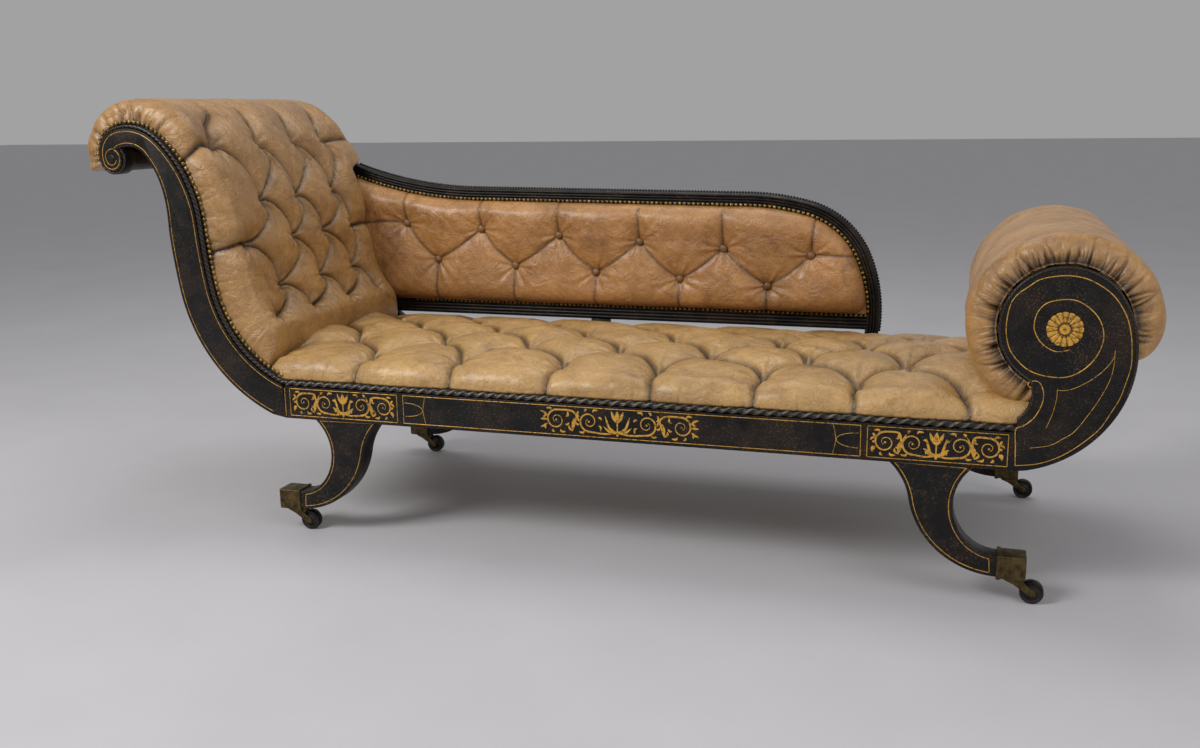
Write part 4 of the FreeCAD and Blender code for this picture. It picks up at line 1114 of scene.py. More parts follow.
def head_outline(inset=None):
    """The scrolled board: along its upper edge, round the volute and back along its lower edge."""
    upper = head_path.line(0.0, head_path.length, 0.006, inset or 0.0)
    lower = [head_path.at(run, board_width(run)) for run in np.linspace(0.0, head_path.length, 160)]
    reach = VOLUTE_RADIUS - (inset(head_path.length) if inset else 0.0)
    keep = [spot for spot in lower if hypot(spot[0] - VOLUTE[0], spot[1] - VOLUTE[1]) > reach + 0.0005]
    start, end = volute_turn(upper[-1]), volute_turn(keep[-1])
    while end < start:
        end += 2 * pi
    count = max(6, int((end - start) / 0.14))
    ring = [polar(VOLUTE, reach, start + (end - start) * step / count) for step in range(1, count)]
    return upper + ring + keep[::-1] + [(RAIL_START, RAIL_BOTTOM)]


def foot_outline():
    """The foot board: the outer sweep, the round facing and the hollow neck above the rail."""
    return foot_path.line(0.0, foot_path.length, 0.006) + neck_arc(10)[1:] + [(RAIL_END, RAIL_BOTTOM)]


def make_boards():
    bm = bmesh.new()
    eye = [polar(VOLUTE, 0.0085, 2 * pi * step / 28) for step in range(28)]
    plate(bm, head_outline(edge_inset), FRONT, FRONT + 0.0095, 0.0022)
    plate(bm, head_outline(), FRONT + 0.0090, FRONT + BOARD_THICK, 0.0012)
    plate(bm, eye, FRONT - 0.0014, FRONT + 0.004, 0.0020)
    finished("head_board_front", bm, "ebonised_wood", ["head_front_board"])
    for end, side, outline, y in (("head", "rear", head_outline(), BACK - BOARD_THICK),
                                  ("foot", "front", foot_outline(), FRONT),
                                  ("foot", "rear", foot_outline(), BACK - BOARD_THICK)):
        bm = bmesh.new()
        plate(bm, outline, y, y + BOARD_THICK, 0.0022)
        finished(f"{end}_board_{side}", bm, "ebonised_wood", [f"{end}_{side}_board"])


def leg_paths():
    """The outer and inner edge of a sabre leg at the foot end, from the socket up to the rail."""
    def rise(radius, start, end):
        return radius * abs(cos(radians(start)) - cos(radians(end)))

    mouth = RAIL_END + 0.006 - 0.023
    low, high = 0.046, 0.082
    knee, ankle, top = 0.112, 0.0714, 0.007
    sweep = (RAIL_BOTTOM - low - rise(knee, 100, 137)) / rise(1.0, 180, 100)
    hollow = (RAIL_BOTTOM - high - rise(ankle, 180, 127) - top) / rise(1.0, 127, 48)
    outer = Path((mouth, low), 180.0, [(sweep, -80.0), (knee, 37.0)])
    inner = Path((mouth, high), 180.0, [(ankle, -53.0), (hollow, -79.0), (top / sin(radians(48)), 0)])
    return outer, inner


def make_legs():
    outer, inner = leg_paths()
    toe = RAIL_END + 0.006 + 0.020
    outline = outer.line(0.0, outer.length, 0.007) + inner.line(0.0, inner.length, 0.007)[::-1]
    bm = bmesh.new()
    plate(bm, [(toe, 0.046)] + outline + [(toe, 0.082)], FRONT + 0.002, FRONT + 0.042, 0.0030, 3)
    mirrored_copy(bm, "Y")
    mirrored_copy(bm, "X")
    finished("sabre_legs", bm, "ebonised_wood", ["legs"])


def make_rail():
    bm = bmesh.new()
    back = FRONT + BOARD_THICK
    block(bm, (RAIL_START, FRONT, RAIL_BOTTOM), (RAIL_END, back, RAIL_TOP - 0.011), 0.0015)
    block(bm, (RAIL_START, FRONT + 0.0088, RAIL_BOTTOM + 0.02), (RAIL_END, back, RAIL_TOP - 0.0002), 0.001)
    finished("front_rail", bm, "ebonised_wood", ["front_seat_rail"])


def rope_piece(name, line, radius, look, stands_for, lobes, pitch, deep, sides=12, slim=None):
    """A rope twisted along a line of points in space, with the height of its strands marked."""
    bm = bmesh.new()
    step = 0.0018
    points = resampled(line, step)
    tangents = np.gradient(points, axis=0)
    tangents /= np.linalg.norm(tangents, axis=1)[:, None]
    side = np.cross(tangents, (0.0, 1.0, 0.0))
    side /= np.linalg.norm(side, axis=1)[:, None]
    up = np.cross(side, tangents)
    heights = {}

    def place(u, v):
        index = min(len(points) - 1, int(round(u * (len(points) - 1))))
        angle = 2 * pi * v
        wave = 0.5 + 0.5 * cos(lobes * (angle - 2 * pi * index * step / pitch))
        reach = radius * (1 - deep * (1 - wave ** 0.6))
        if slim:
            reach *= slim(index / (len(points) - 1))
        spot = points[index] + side[index] * reach * cos(angle) + up[index] * reach * sin(angle)
        heights[key(spot, 6)] = wave
        return spot

    laid_grid(bm, len(points) - 1, sides, place, closed=True)
    piece = finished(name, bm, look, stands_for, smooth=0)
    mark_places(piece, "ridge", heights, 6, 0.5)


def make_mouldings():
    y, z = FRONT + 0.0053, RAIL_TOP - 0.0055
    rope_piece("rail_rope", [(RAIL_START, y, z), (RAIL_END, y, z)], 0.0055, "rubbed_moulding",
               ["rail_moulding"], 2, sizes().rope_pitch, 0.30)
    edge = head_path.line(0.0, head_path.length, 0.003, lambda run: edge_inset(run) / 2)
    reach = VOLUTE_RADIUS - edge_inset(head_path.length) / 2
    start = volute_turn(edge[-1])
    edge += [polar(VOLUTE, reach, start + step * 0.14) for step in range(1, 34)]
    rope_piece("head_rope", [(x, y, z) for x, z in edge], 0.0055, "dark_moulding", ["head_moulding"],
               3, 0.030, 0.26, slim=lambda share: 1 - 0.42 * eased(share, 0.5, 0.85))
    edge = foot_path.line(foot_path.pieces[3][0] - 0.16, foot_path.length, 0.003, 0.0026)
    edge += [(x + 0.0022, z) for x, z in neck_arc(12)[2:]]
    rope_piece("facing_rope", [(x, FRONT + 0.0006, z) for x, z in edge], 0.0026, "dark_moulding", (),
               2, 0.014, 0.26, sides=8)


def reeded_section(width, thick, reeds, swell):
    """The outline of a reeded rail across its run: place across, and place from front to back."""
    waves = [(index / (reeds * 6), abs(sin(pi * index / 6)) ** 0.7) for index in range(reeds * 6 + 1)]
    points = [(0.002 + share * (width - 0.004), -swell * wave) for share, wave in waves]
    return points + [(width, 0.002), (width, thick - 0.002), (width - 0.002, thick), (0.002, thick),
                     (0.0, thick - 0.002), (0.0, 0.002), points[0]]


def make_back_rails():
    def reeded(name, width, place, count, stands_for):
        section = reeded_section(width, BACK_REAR - BACK_FACE, 4, 0.003)
        last = len(section) - 1

        def laid(u, v):
            across, deep = section[int(round(v * last))]
            x, z = place(u, across)
            return (x, BACK_FACE + deep, z)

        bm = bmesh.new()
        laid_grid(bm, count, last, laid, closed=True)
        capped(bm)
        finished(name, bm, "ebonised_wood", [stands_for], smooth=50)

    start, scarf, end = 0.028, back_path.length * 0.64, back_path.length - 0.0005
    reeded("top_rail_reeded", BACK_RAIL_WIDTH,
           lambda u, across: back_path.at(start + (scarf - start) * u, -across), 150, "back_top_rail")
    reeded("end_stile_reeded", BACK_RAIL_WIDTH,
           lambda u, across: back_path.at(scarf + (end - scarf) * u, -across), 110, "back_end_stile")
    left = head_path.at(0.085)[0] + 0.004
    runs = np.linspace(back_path.length, 0.8 * BACK_RUN, 200)
    stile = [back_path.at(run, -BACK_RAIL_WIDTH) for run in runs]
    right = float(np.interp(LOWER_RAIL_TOP - 0.017, [z for x, z in stile], [x for x, z in stile])) + 0.004
    reeded("lower_rail_reeded", LOWER_RAIL_TOP - LOWER_RAIL_BOTTOM,
           lambda u, across: (left + (right - left) * u, LOWER_RAIL_TOP - across), 60, "back_lower_rail")
    bm = bmesh.new()
    x, half = MIDDLE - 0.219, 0.021
    block(bm, (x - half, BACK_FACE, RAIL_TOP), (x + half, BACK_REAR, LOWER_RAIL_BOTTOM), 0.002)
    finished("back_block", bm, "ebonised_wood", ["back_support"])


def nail_head(out, radius, height):
    """One small dome, as a mesh that can be stamped many times."""
    bm = bmesh.new()
    dome(bm, (0, 0, 0), out, radius, height)
    mesh = bpy.data.meshes.new("nail")
    bm.to_mesh(mesh)
    bm.free()
    return mesh


def stamped_along(bm, out, radius, height, line, spacing, y):
    """Sets a row of small domes along a line of points (x, z) on an upright plane."""
    mesh = nail_head(out, radius, height)
    for x, z in resampled(line, spacing):
        first = len(bm.verts)
        bm.from_mesh(mesh)
        bm.verts.ensure_lookup_table()
        bmesh.ops.translate(bm, verts=bm.verts[first:], vec=(x, y, z))
    bpy.data.meshes.remove(mesh)


def make_beads():
    bm = bmesh.new()
    line = back_path.line(0.05, BACK_RUN - 0.01, 0.004, 0.0006)
    stamped_along(bm, (0, 0, 1), 0.0031, 0.0034, line, 0.0066, BACK_REAR - 0.0045)
    finished("back_edge_beads", bm, "ebonised_wood", smooth=0)


def make_nails():
    bm = bmesh.new()
    spacing = sizes().nail_spacing
    for out, start in (((0, -1, 0), 0.012), ((0, 1, 0), BACK_JOIN_RUN + 0.03)):
        line = head_path.line(start, head_path.length - 0.01, 0.004, -0.0048)
        stamped_along(bm, out, 0.0042, 0.0026, line, spacing, out[1] * (PAD_REACH + 0.0022))
    ahead, face = (0, -1, 0), BACK_FACE - 0.0036
    margin = [spot for spot in back_path.line(0.05, back_path.length, 0.004, -BACK_RAIL_WIDTH + 0.0035)
              if spot[1] > LOWER_RAIL_TOP + 0.004]
    stamped_along(bm, ahead, 0.0042, 0.0026, margin, spacing, face)
    left = head_path.at(0.085)[0] + 0.07
    right = back_path.at(back_path.length - 0.09, -BACK_RAIL_WIDTH)[0]
    line = [(left, LOWER_RAIL_TOP - 0.0030), (right, LOWER_RAIL_TOP - 0.0030)]
    stamped_along(bm, ahead, 0.0034, 0.0020, line, spacing, face)
    finished("brass_nails", bm, "nail_brass", smooth=0)


def make_patera():
    bm = bmesh.new()
    petals, reach = 16, 0.0276
    radii = [0.0, 0.0040, 0.0070, 0.0088, 0.0100, 0.0130, 0.0165, 0.0205, 0.0240, 0.0262, reach]
    grooves = {}

    def place(u, v):
        radius = radii[int(round(v * (len(radii) - 1)))]
        angle = 2 * pi * u
        wave = abs(cos(petals * angle / 2)) ** 0.5
        share = radius / reach
        if share < 0.30:
            rise = 0.0022 + 0.0012 * sqrt(max(0.0, 1 - (share / 0.30) ** 2))
        else:
            rise = 0.0010 + 0.0016 * wave
        ring = 1.0 if 0.30 < share < 0.38 or share < 0.10 else 0.0
        x, z = polar(FACING, radius * (1 - 0.05 * (1 - wave) * (share > 0.9)), angle)
        spot = (x, FRONT + 0.001 - rise, z)
        grooves[key(spot, 5)] = max(ring, (1 - wave) ** 1.5 if share > 0.3 else 0.0)
        return spot

    laid_grid(bm, petals * 8, len(radii) - 1, place, closed=True)
    drawn_in(bm, lambda co: Vector((co.x, FRONT + 0.0039, co.z)))
    capped(bm)
    piece = finished("facing_patera", bm, "gilding", ["foot_patera"], smooth=0)
    mark_places(piece, "groove", grooves, 5, 0.0)


# Painted ornament

def camera_axes():
    level = cos(CAMERA_PITCH)
    ahead = Vector((-sin(CAMERA_YAW) * level, cos(CAMERA_YAW) * level, sin(CAMERA_PITCH)))
    right = Vector((cos(CAMERA_YAW), sin(CAMERA_YAW), 0.0))
    up = right.cross(ahead)
    return (ahead, right * cos(CAMERA_ROLL) + up * sin(CAMERA_ROLL),
            up * cos(CAMERA_ROLL) - right * sin(CAMERA_ROLL))


def photo_point(px, py):
    """The place on the front of the frame behind a point of the picture, from the camera's own view."""
    ahead, aside, above = camera_axes()
    wide, tall = PHOTO_SIZE
    ray = ahead * (LENS / SENSOR * wide) + aside * (px - wide / 2) - above * (py - tall / 2)
    eye = Vector(CAMERA_PLACE)
    spot = eye + ray * ((FRONT - eye.y) / ray.y)
    return (spot.x, spot.z)


def leaf(bm, points, width, step=0.0010):
    ribbon(bm, flow(points, step), width, FRONT, taper=leaf_taper)


def stroke(bm, points, width, step=0.0012):
    ribbon(bm, flow(points, step), width, FRONT)


def straight(bm, points, width, step=0.004):
    ribbon(bm, resampled(points, step), width, FRONT)


def scroll(bm, centre, radius, start, hand, low, high):
    """One spiral with a bud in its middle and leaves round its rim."""
    line = spiral(centre, radius, start, 1.45, 0.20, hand)
    ribbon(bm, flow(line, 0.0012), 0.0042, FRONT, taper=tail_taper)
    for turn in range(10):
        stroke(bm, [centre, polar(centre, 0.0016, 2 * pi * turn / 10)], 0.0022, 0.0008)
    for step in range(7):
        angle = radians(start) + hand * radians(28 + 44 * step)
        lean = angle + hand * 0.75
        reach = radius * (0.42 if step % 2 else 0.60)
        rim = polar(centre, radius, angle)
        tip_x, tip_z = polar(rim, reach, lean)
        tip = (tip_x, min(high + 0.001, max(low - 0.001, tip_z)))
        leaf(bm, [rim, polar(rim, 0.45 * reach, angle), tip], 0.0044)


def rinceau(bm, x0, x1, low, high, flower):
    """Scrolling leaves on either side of a flower: two spirals a side, with leaves between them."""
    tall = high - low
    middle = (low + high) / 2
    for toward, end in ((-1, x0), (1, x1)):
        span = abs(end - flower)
        radius = min(0.43 * tall, 0.20 * span)
        first, second = flower + toward * 0.36 * span, flower + toward * 0.78 * span
        scroll(bm, (first, middle), radius, -90, toward, low, high)
        scroll(bm, (second, middle), radius, 90, -toward, low, high)
        stroke(bm, [(flower, low + 0.10 * tall), (flower + toward * 0.16 * span, low + 0.02 * tall),
                    (first, middle - radius)], 0.0036)
        stroke(bm, [(first + toward * radius, middle), ((first + second) / 2, high - 0.10 * tall),
                    (second, middle + radius)], 0.0036)
        for rise in (0.16, 0.50, 0.84):
            root = (second + toward * radius * 0.9, middle + (rise - 0.5) * 0.5 * tall)
            tip = (end - toward * 0.002, low + rise * tall)
            bend = ((root[0] + tip[0]) / 2, (root[1] + tip[1]) / 2 + (rise - 0.5) * 0.12 * tall)
            leaf(bm, [root, bend, tip], 0.0048)
        for rise in (0.30, 0.62, 0.92):
            root = ((first + second) / 2, low + 0.04 * tall)
            tip = (root[0] + toward * (0.5 - rise) * 0.030, low + rise * tall)
            bend = (root[0] + toward * (0.62 - rise) * 0.020, low + 0.6 * rise * tall)
            leaf(bm, [root, bend, tip], 0.0046)
        for rise in (0.35, 0.8):
            root = (flower + toward * 0.004, low + 0.06 * tall)
            tip = (flower + toward * 0.17 * span * (1.15 - 0.3 * rise), low + rise * tall)
            bend = (flower + toward * 0.10 * span, low + 0.35 * rise * tall)
            leaf(bm, [root, bend, tip], 0.0046)
    tulip(bm, flower, low + 0.006, high + 0.001)
    leaf(bm, [(flower, low + 0.006), (flower, low - 0.003)], 0.0060)


def tulip(bm, x, low, high):
    """A painted flower on a short stem."""
    tall = high - low
    neck = (x, low + 0.40 * tall)
    stroke(bm, [(x, low), (x, low + 0.5 * tall)], 0.0026, 0.001)
    leaf(bm, [neck, (x, low + 0.65 * tall), (x, high)], 0.0100)
    for lean in (-tall, tall):
        tip = (x + 0.30 * lean, high - 0.02 * tall)
        leaf(bm, [neck, (x + 0.17 * lean, low + 0.66 * tall), tip], 0.0066)
    for lean in (-tall, tall):
        tip = (x + 0.42 * lean, low + 0.22 * tall)
        leaf(bm, [(x, low), (x + 0.2 * lean, low + 0.02 * tall), tip], 0.0050)


def paint_rail(bm, wide):
    """The bordered panels of the front rail and their scrolling leaves."""
    top, low = RAIL_TOP - 0.0155, RAIL_BOTTOM + 0.0065
    middle = (low + top) / 2
    for left, right in ((-0.663, -0.432), (0.440, 0.663)):
        x0, x1 = MIDDLE + left, MIDDLE + right
        corners = [(x0, top), (x1, top), (x1, low), (x0, low), (x0, top)]
        for pair in zip(corners, corners[1:]):
            straight(bm, pair, wide)
        rinceau(bm, x0 + 0.006, x1 - 0.006, low + 0.006, top - 0.005, (x0 + x1) / 2)
    x0, x1 = MIDDLE - 0.419, MIDDLE + 0.429
    for z in (top, low):
        straight(bm, [(x0, z), (x1, z)], wide)
    for x, lean in ((x0, 1), (x1, -1)):
        straight(bm, [(x, low), (x, top)], wide)
        bow = [(x + lean * (0.004 + 0.036 * cos(angle)), middle + 0.013 * sin(angle))
               for angle in np.linspace(-0.5 * pi, 0.5 * pi, 9)]
        stroke(bm, bow, 0.75 * wide, 0.002)
        bend = [(x + lean * 0.046, top), (x + lean * 0.041, middle), (x + lean * 0.046, low)]
        stroke(bm, bend, 0.75 * wide, 0.002)
    x0, x1 = (photo_point(px, 440)[0] for px in (540, 700))
    rinceau(bm, x0, x1, low + 0.006, top - 0.004, x0 + 0.495 * (x1 - x0))


def paint_head_board(bm, wide):
    """Two lines along the scrolled board, of which the lower one curls into the volute."""
    outer = head_path.line(0.0, head_path.length, 0.004, lambda run: edge_inset(run) + 0.0055)
    reach = VOLUTE_RADIUS - edge_inset(head_path.length) - 0.0045
    start = volute_turn(outer[-1])
    outer += [polar(VOLUTE, reach, start + 0.12 * step) for step in range(1, 34)]
    straight(bm, outer, wide, 0.003)
    inner = head_path.line(0.0, head_path.length - 0.052, 0.004, lambda run: board_width(run) - 0.0065)
    start = volute_turn(inner[-1])
    reach = hypot(inner[-1][0] - VOLUTE[0], inner[-1][1] - VOLUTE[1])
    for step in range(1, 40):
        share = step / 39
        curled = reach + (0.0115 - reach) * min(1.0, 2.2 * share)
        inner.append(polar(VOLUTE, curled, start + 4.9 * share))
    straight(bm, inner, 0.9 * wide, 0.003)
    straight(bm, [(RAIL_START, RAIL_BOTTOM + 0.005), (RAIL_START, RAIL_TOP - 0.015)], wide)


# Strokes on the facing of the foot end: share of the line width, and points of the picture along them.
FACING_STROKES = (
    # The spiral round the patera.
    (1.15, (
        (1070, 350), (1055.7, 351.6), (1042.9, 344.5), (1035.8, 334.1), (1034.2, 324.5), (1038.1, 311.8),
        (1047.7, 303), (1062.1, 299.8), (1076.4, 300.6), (1089.2, 307.8), (1098.8, 318.1), (1103.5, 330.9),
        (1102.7, 343.7), (1095.6, 358), (1084.4, 369.2), (1070, 376.4), (1055.7, 377.5), (1039.7, 374.8),
        (1027, 369.2), (1016.6, 359.6), (1009.4, 348.5), (1006.3, 334.1), (1007, 319.7), (1011, 303.8),
        (1018.2, 294.2), (1028.6, 287), (1039.7, 279.9), (1055.7, 276.4), (1071.6, 275.9), (1087.6, 279.1),
        (1101.9, 286.3), (1113.1, 295), (1121.1, 305.4), (1127.5, 318.1), (1130.7, 330.9), (1132, 342))),
    # The outer sweep, from the spiral down to the rail.
    (0.9, (
        (1132, 342), (1131.5, 364.4), (1125.9, 383.5), (1119.5, 399.5), (1111.5, 412.2), (1100.4, 428.2),
        (1087.6, 439.4), (1071.6, 450.5), (1055.7, 458.5), (1036.6, 464.1), (1015, 465.7))),
    # The neck and its small volute.
    (1.15, (
        (1015, 465.7), (1015.4, 448), (1015.8, 429.8), (1023.8, 425.8), (1033.4, 418.6), (1041.3, 405.9),
        (1043.7, 394.7), (1041.3, 385.1), (1036.6, 381.2), (1030.2, 381.9), (1027.8, 384.3), (1030.2, 387.5),
        (1033, 386))),
    # The upper edge, the end and the lower edge of a leaf.
    (0.7, (
        (1115.5, 350), (1113.1, 359.6), (1103.5, 370.8), (1090.8, 380.4), (1074.8, 388.3), (1063.7, 390.7),
        (1057.3, 389.9))),
    (0.7, (
        (1057.3, 389.9), (1056.5, 399.5), (1052.5, 413.8), (1046.1, 428.2))),
    (0.7, (
        (1115.5, 350), (1113.9, 366), (1109.9, 380.4), (1100.4, 397.9), (1089.2, 413.8), (1074.8, 431.4),
        (1062.1, 439.4), (1049.3, 445.7), (1030.2, 448.1))),
)


def paint_foot_board(bm, wide):
    """The spiral round the patera, the small volute of the neck and the outline of a leaf."""
    for share, points in FACING_STROKES:
        stroke(bm, [photo_point(*point) for point in points], share * wide, 0.002)


def paint_legs(bm, wide):
    """Lines along both edges of each front leg, with a closed end at the toe."""
    outer, inner = leg_paths()
    legs = bmesh.new()
    inset = 0.0065
    outer_ends, inner_ends = (0.012, outer.length - 0.006), (0.012, inner.length - 0.008)
    lines = [outer.line(*outer_ends, 0.004, -inset), inner.line(*inner_ends, 0.004, inset)]
    for place in (1, 0):
        lines.append([outer.at(outer_ends[place], -inset), inner.at(inner_ends[place], inset)])
    for line in lines:
        ribbon(legs, resampled(line, 0.004), wide, FRONT + 0.002)
    mirrored_copy(legs, "X")
    absorbed(bm, legs)


def make_ornament():
    bm = bmesh.new()
    wide = sizes().gilt_width
    for paint in (paint_rail, paint_head_board, paint_foot_board, paint_legs):
        paint(bm, wide)
    finished("gilt_ornament", bm, "gilding", smooth=0)


# Castors, covers and webbing

def castor_place(side):
    """The upright axis of a castor at one corner of the frame."""
    toward, depth = SIDES[side]
    return MIDDLE + toward * (HALF_RAIL + 0.006), -depth * (FRONT + 0.022)


def make_fork(side):
    x, y = castor_place(side)
    bm = bmesh.new()
    top, bottom = 0.0437, 0.0397
    block(bm, (x - 0.011, y - 0.0125, bottom), (x + 0.011, y + 0.0125, top), 0.001)
    axle = (x + 0.034, 0.0195)
    outline = [(x - 0.011, bottom), (x - 0.0105, top), (x + 0.010, top), (x + 0.018, top - 0.003),
               (x + 0.028, 0.031)]
    outline += [polar(axle, 0.0062, radians(62 - 26 * step)) for step in range(9)]
    outline += [(x + 0.020, 0.0225), (x + 0.004, 0.033)]
    for y0 in (y - 0.0125, y + 0.0093):
        plate(bm, outline, y0, y0 + 0.0032, 0.0007)
    turned(bm, [(0.0, -0.0142), (0.0026, -0.0140), (0.0036, -0.0126), (0.0036, 0.0126), (0.0026, 0.0140),
                (0.0, 0.0142)], (axle[0], y, axle[1]), 16)
    for low, high, tall, z in ((0.005, 0.005, 0.006, 0.0455), (0.008, 0.007, 0.003, 0.0478)):
        bmesh.ops.create_cone(bm, cap_ends=True, segments=16, radius1=low, radius2=high, depth=tall,
                              matrix=Matrix.Translation((x, y, z)))
    finished("castor_fork_" + side, bm, "aged_brass", ["fork_" + side], "castor_" + side)


def make_wheel(side):
    x, y = castor_place(side)
    bm = bmesh.new()
    half = [(0.0028, 0.0092), (0.0070, 0.0092), (0.0082, 0.0080), (0.0140, 0.0072), (0.0158, 0.0086),
            (0.0182, 0.0086), (0.0193, 0.0070)]
    profile = [(radius, -wide) for radius, wide in half] + [(0.0195, 0.0)] + half[::-1] + [(0.0028, -0.0092)]
    turned(bm, profile, (x + 0.034, y, 0.0195), 40)
    bmesh.ops.recalc_face_normals(bm, faces=bm.faces[:])
    finished("castor_wheel_" + side, bm, "dark_wheel", ["wheel_" + side], "roller_" + side)


def make_sockets():
    bm = bmesh.new()
    for side, (toward, depth) in SIDES.items():
        x, y = castor_place(side)
        back = x - toward * 0.023
        low, high = sorted((back, x + toward * 0.023))
        block(bm, (low, y - 0.022, SOCKET_LOW), (high, y + 0.022, SOCKET_HIGH), 0.0022, 3)
        low, high = sorted((back - toward * 0.001, back + toward * 0.006))
        block(bm, (low, y - 0.0232, SOCKET_LOW - 0.0012), (high, y + 0.0232, SOCKET_HIGH + 0.0012), 0.0012)
        dome(bm, (x, FRONT if depth < 0 else BACK, 0.064), (0, depth, 0), 0.0042, 0.0016, 12)
    finished("castor_boxes", bm, "aged_brass", ["castor_sockets"])


def make_castors():
    for side in SIDES:
        make_fork(side)
        make_wheel(side)
    make_sockets()


def make_head_cover():
    bm = bmesh.new()

    def place(u, v):
        run = 0.013 + (head_path.pieces[4][0] - 0.013) * u
        crown = 0.004 * sin(pi * v) ** 0.5
        x, z = head_path.at(run, board_width(run) - 0.0062 + crown)
        return (x, (v - 0.5) * 2 * (BACK - BOARD_THICK), z)

    laid_grid(bm, 120, 40, place)
    bmesh.ops.solidify(bm, geom=bm.faces[:], thickness=0.002)
    bmesh.ops.recalc_face_normals(bm, faces=bm.faces[:])
    piece = finished("head_outside_cover", bm, "arm_leather", ["head_outer_cover"], smooth=0)
    mark(piece, "crease", np.zeros(len(piece.data.vertices)))


def make_back_cover():
    side, top = back_outline()
    bm = bmesh.new()
    outline = [side[0]] + side[1::4] + top[::4] + [top[-1]]
    face = bm.faces.new([bm.verts.new((x, BACK_REAR - 0.0055, z)) for x, z in outline])
    bmesh.ops.inset_region(bm, faces=[face], thickness=0.012, depth=0.0)
    for vert in verts_of(bmesh.ops.extrude_face_region(bm, geom=[face])["geom"]):
        vert.co.y += 0.002
    bmesh.ops.recalc_face_normals(bm, faces=bm.faces[:])
    piece = finished("back_outside_cover", bm, "arm_leather", ["back_outer_cover"])
    mark(piece, "crease", np.zeros(len(piece.data.vertices)))


def make_webbing():
    """Straps along and across the seat, each of which goes over and under the others."""
    bm = bmesh.new()
    level, half, thick, swing = RAIL_TOP - 0.0035, 0.025, 0.0011, 0.0011
    section = [(-half, 0.0), (-half, thick), (half, thick), (half, 0.0), (-half, 0.0)]
    longs = np.linspace(-0.226, 0.226, 5)
    crosses = MIDDLE + np.linspace(0.05 - CLOTH_REACH_X, CLOTH_REACH_X - 0.05, 11)

    def strap(count, start, end, others, index, hand, point):
        def place(u, v):
            across, lift = section[int(round(v * 4))]
            run = start + (end - start) * u
            wave = cos(pi * ((run - others[0]) / (others[1] - others[0]) + index))
            return point(run, across, level + lift - 0.0006 + hand * swing * wave)
        laid_grid(bm, count, 4, place, closed=True)

    for index, y in enumerate(longs):
        strap(160, MIDDLE - CLOTH_REACH_X, MIDDLE + CLOTH_REACH_X, crosses, index, 1,
              lambda run, across, z, y=y: (run, y + across, z))
    for index, x in enumerate(crosses):
        strap(60, -CLOTH_REACH_Y, CLOTH_REACH_Y, longs, index, -1,
              lambda run, across, z, x=x: (x + across, run, z))
    bmesh.ops.recalc_face_normals(bm, faces=bm.faces[:])
    finished("seat_webbing_woven", bm, "jute_webbing", ["seat_webbing"], smooth=0)


def make_base_cloth():
    bm = bmesh.new()
    low = RAIL_TOP - 0.0014

    def place(u, v):
        wave = 0.0005 * sin(9 * pi * u) * sin(5 * pi * v)
        return (MIDDLE + (2 * u - 1) * CLOTH_REACH_X, (2 * v - 1) * CLOTH_REACH_Y, low + wave)

    laid_grid(bm, 90, 40, place)
    bmesh.ops.solidify(bm, geom=bm.faces[:], thickness=0.0006)
    bmesh.ops.recalc_face_normals(bm, faces=bm.faces[:])
    cloth = finished("seat_hessian", bm, "hessian", ["seat_base_cloth"], smooth=0)


PLAIN_MEMBERS = {
    "ebonised_wood": ("back_seat_rail", "head_crest_rail", "foot_outer_panel"),
    "bare_beech": ("head_cross_rail", "foot_cross_rail", "seat_stretchers", "corner_blocks", "head_slats",
                   "foot_laths"),
}


def dress_solids():
    """Gives the carried-over solids their finishes."""
    for look, nodes in PLAIN_MEMBERS.items():
        for node in nodes:
            materials = NODES[node].data.materials
            materials.clear()
            materials.append(finish(look))


# Stage

# Name, place, aim and size of each lamp. The powers are settings.
LAMPS = (("window", (-1.9, -2.5, 2.7), (0.0, 0.0, 0.4), 1.3),
         ("fill", (2.6, -1.8, 2.0), (0.3, 0.0, 0.5), 2.2),
         ("top", (0.0, 1.0, 3.4), (0.0, 0.0, 0.5), 2.0))


def placed(name, data):
    """Puts a new object for a mesh, a lamp or a camera into the scene."""
    thing = bpy.data.objects.new(name, data)
    bpy.context.scene.collection.objects.link(thing)
    return thing


def make_floor(tone):
    bm = bmesh.new()
    bmesh.ops.create_grid(bm, x_segments=1, y_segments=1, size=30.0)
    mesh = bpy.data.meshes.new("floor")
    bm.to_mesh(mesh)
    bm.free()
    recipe = Finish("pale_floor", roughness=0.6)
    cloud = recipe.limits(recipe.noise(3.0, 4.0, 0.6), 0.3, 0.7)
    mesh.materials.append(recipe.done(recipe.mix(cloud, tuple(part * 0.94 for part in tone), tuple(tone))))
    placed("floor", mesh)


def make_stage():
    scene = bpy.context.scene
    light = scene.recamier_light
    make_floor(light.floor)
    world = bpy.data.worlds.new("studio")
    world.use_nodes = True
    backdrop = next(node for node in world.node_tree.nodes if node.type == "BACKGROUND")
    backdrop.inputs["Color"].default_value = (0.86, 0.86, 0.87, 1.0)
    backdrop.inputs["Strength"].default_value = 0.42
    scene.world = world
    for name, place, aim, size in LAMPS:
        data = bpy.data.lights.new(name, "AREA")
        data.size = size
        data.energy = getattr(light, name + "_power")
        lamp = placed(name, data)
        lamp.location = place
        lamp.rotation_euler = (Vector(aim) - Vector(place)).to_track_quat("-Z", "Y").to_euler()
    data = bpy.data.cameras.new("camera")
    data.lens = LENS
    data.sensor_width = SENSOR
    data.clip_start = 0.05
    ahead, right, up = camera_axes()
    scene.camera = placed("camera", data)
    turn = Matrix((right, up, -ahead)).transposed().to_4x4()
    scene.camera.matrix_world = Matrix.Translation(CAMERA_PLACE) @ turn
    scene.view_settings.view_transform = "Standard"


# Settings, operators and panel

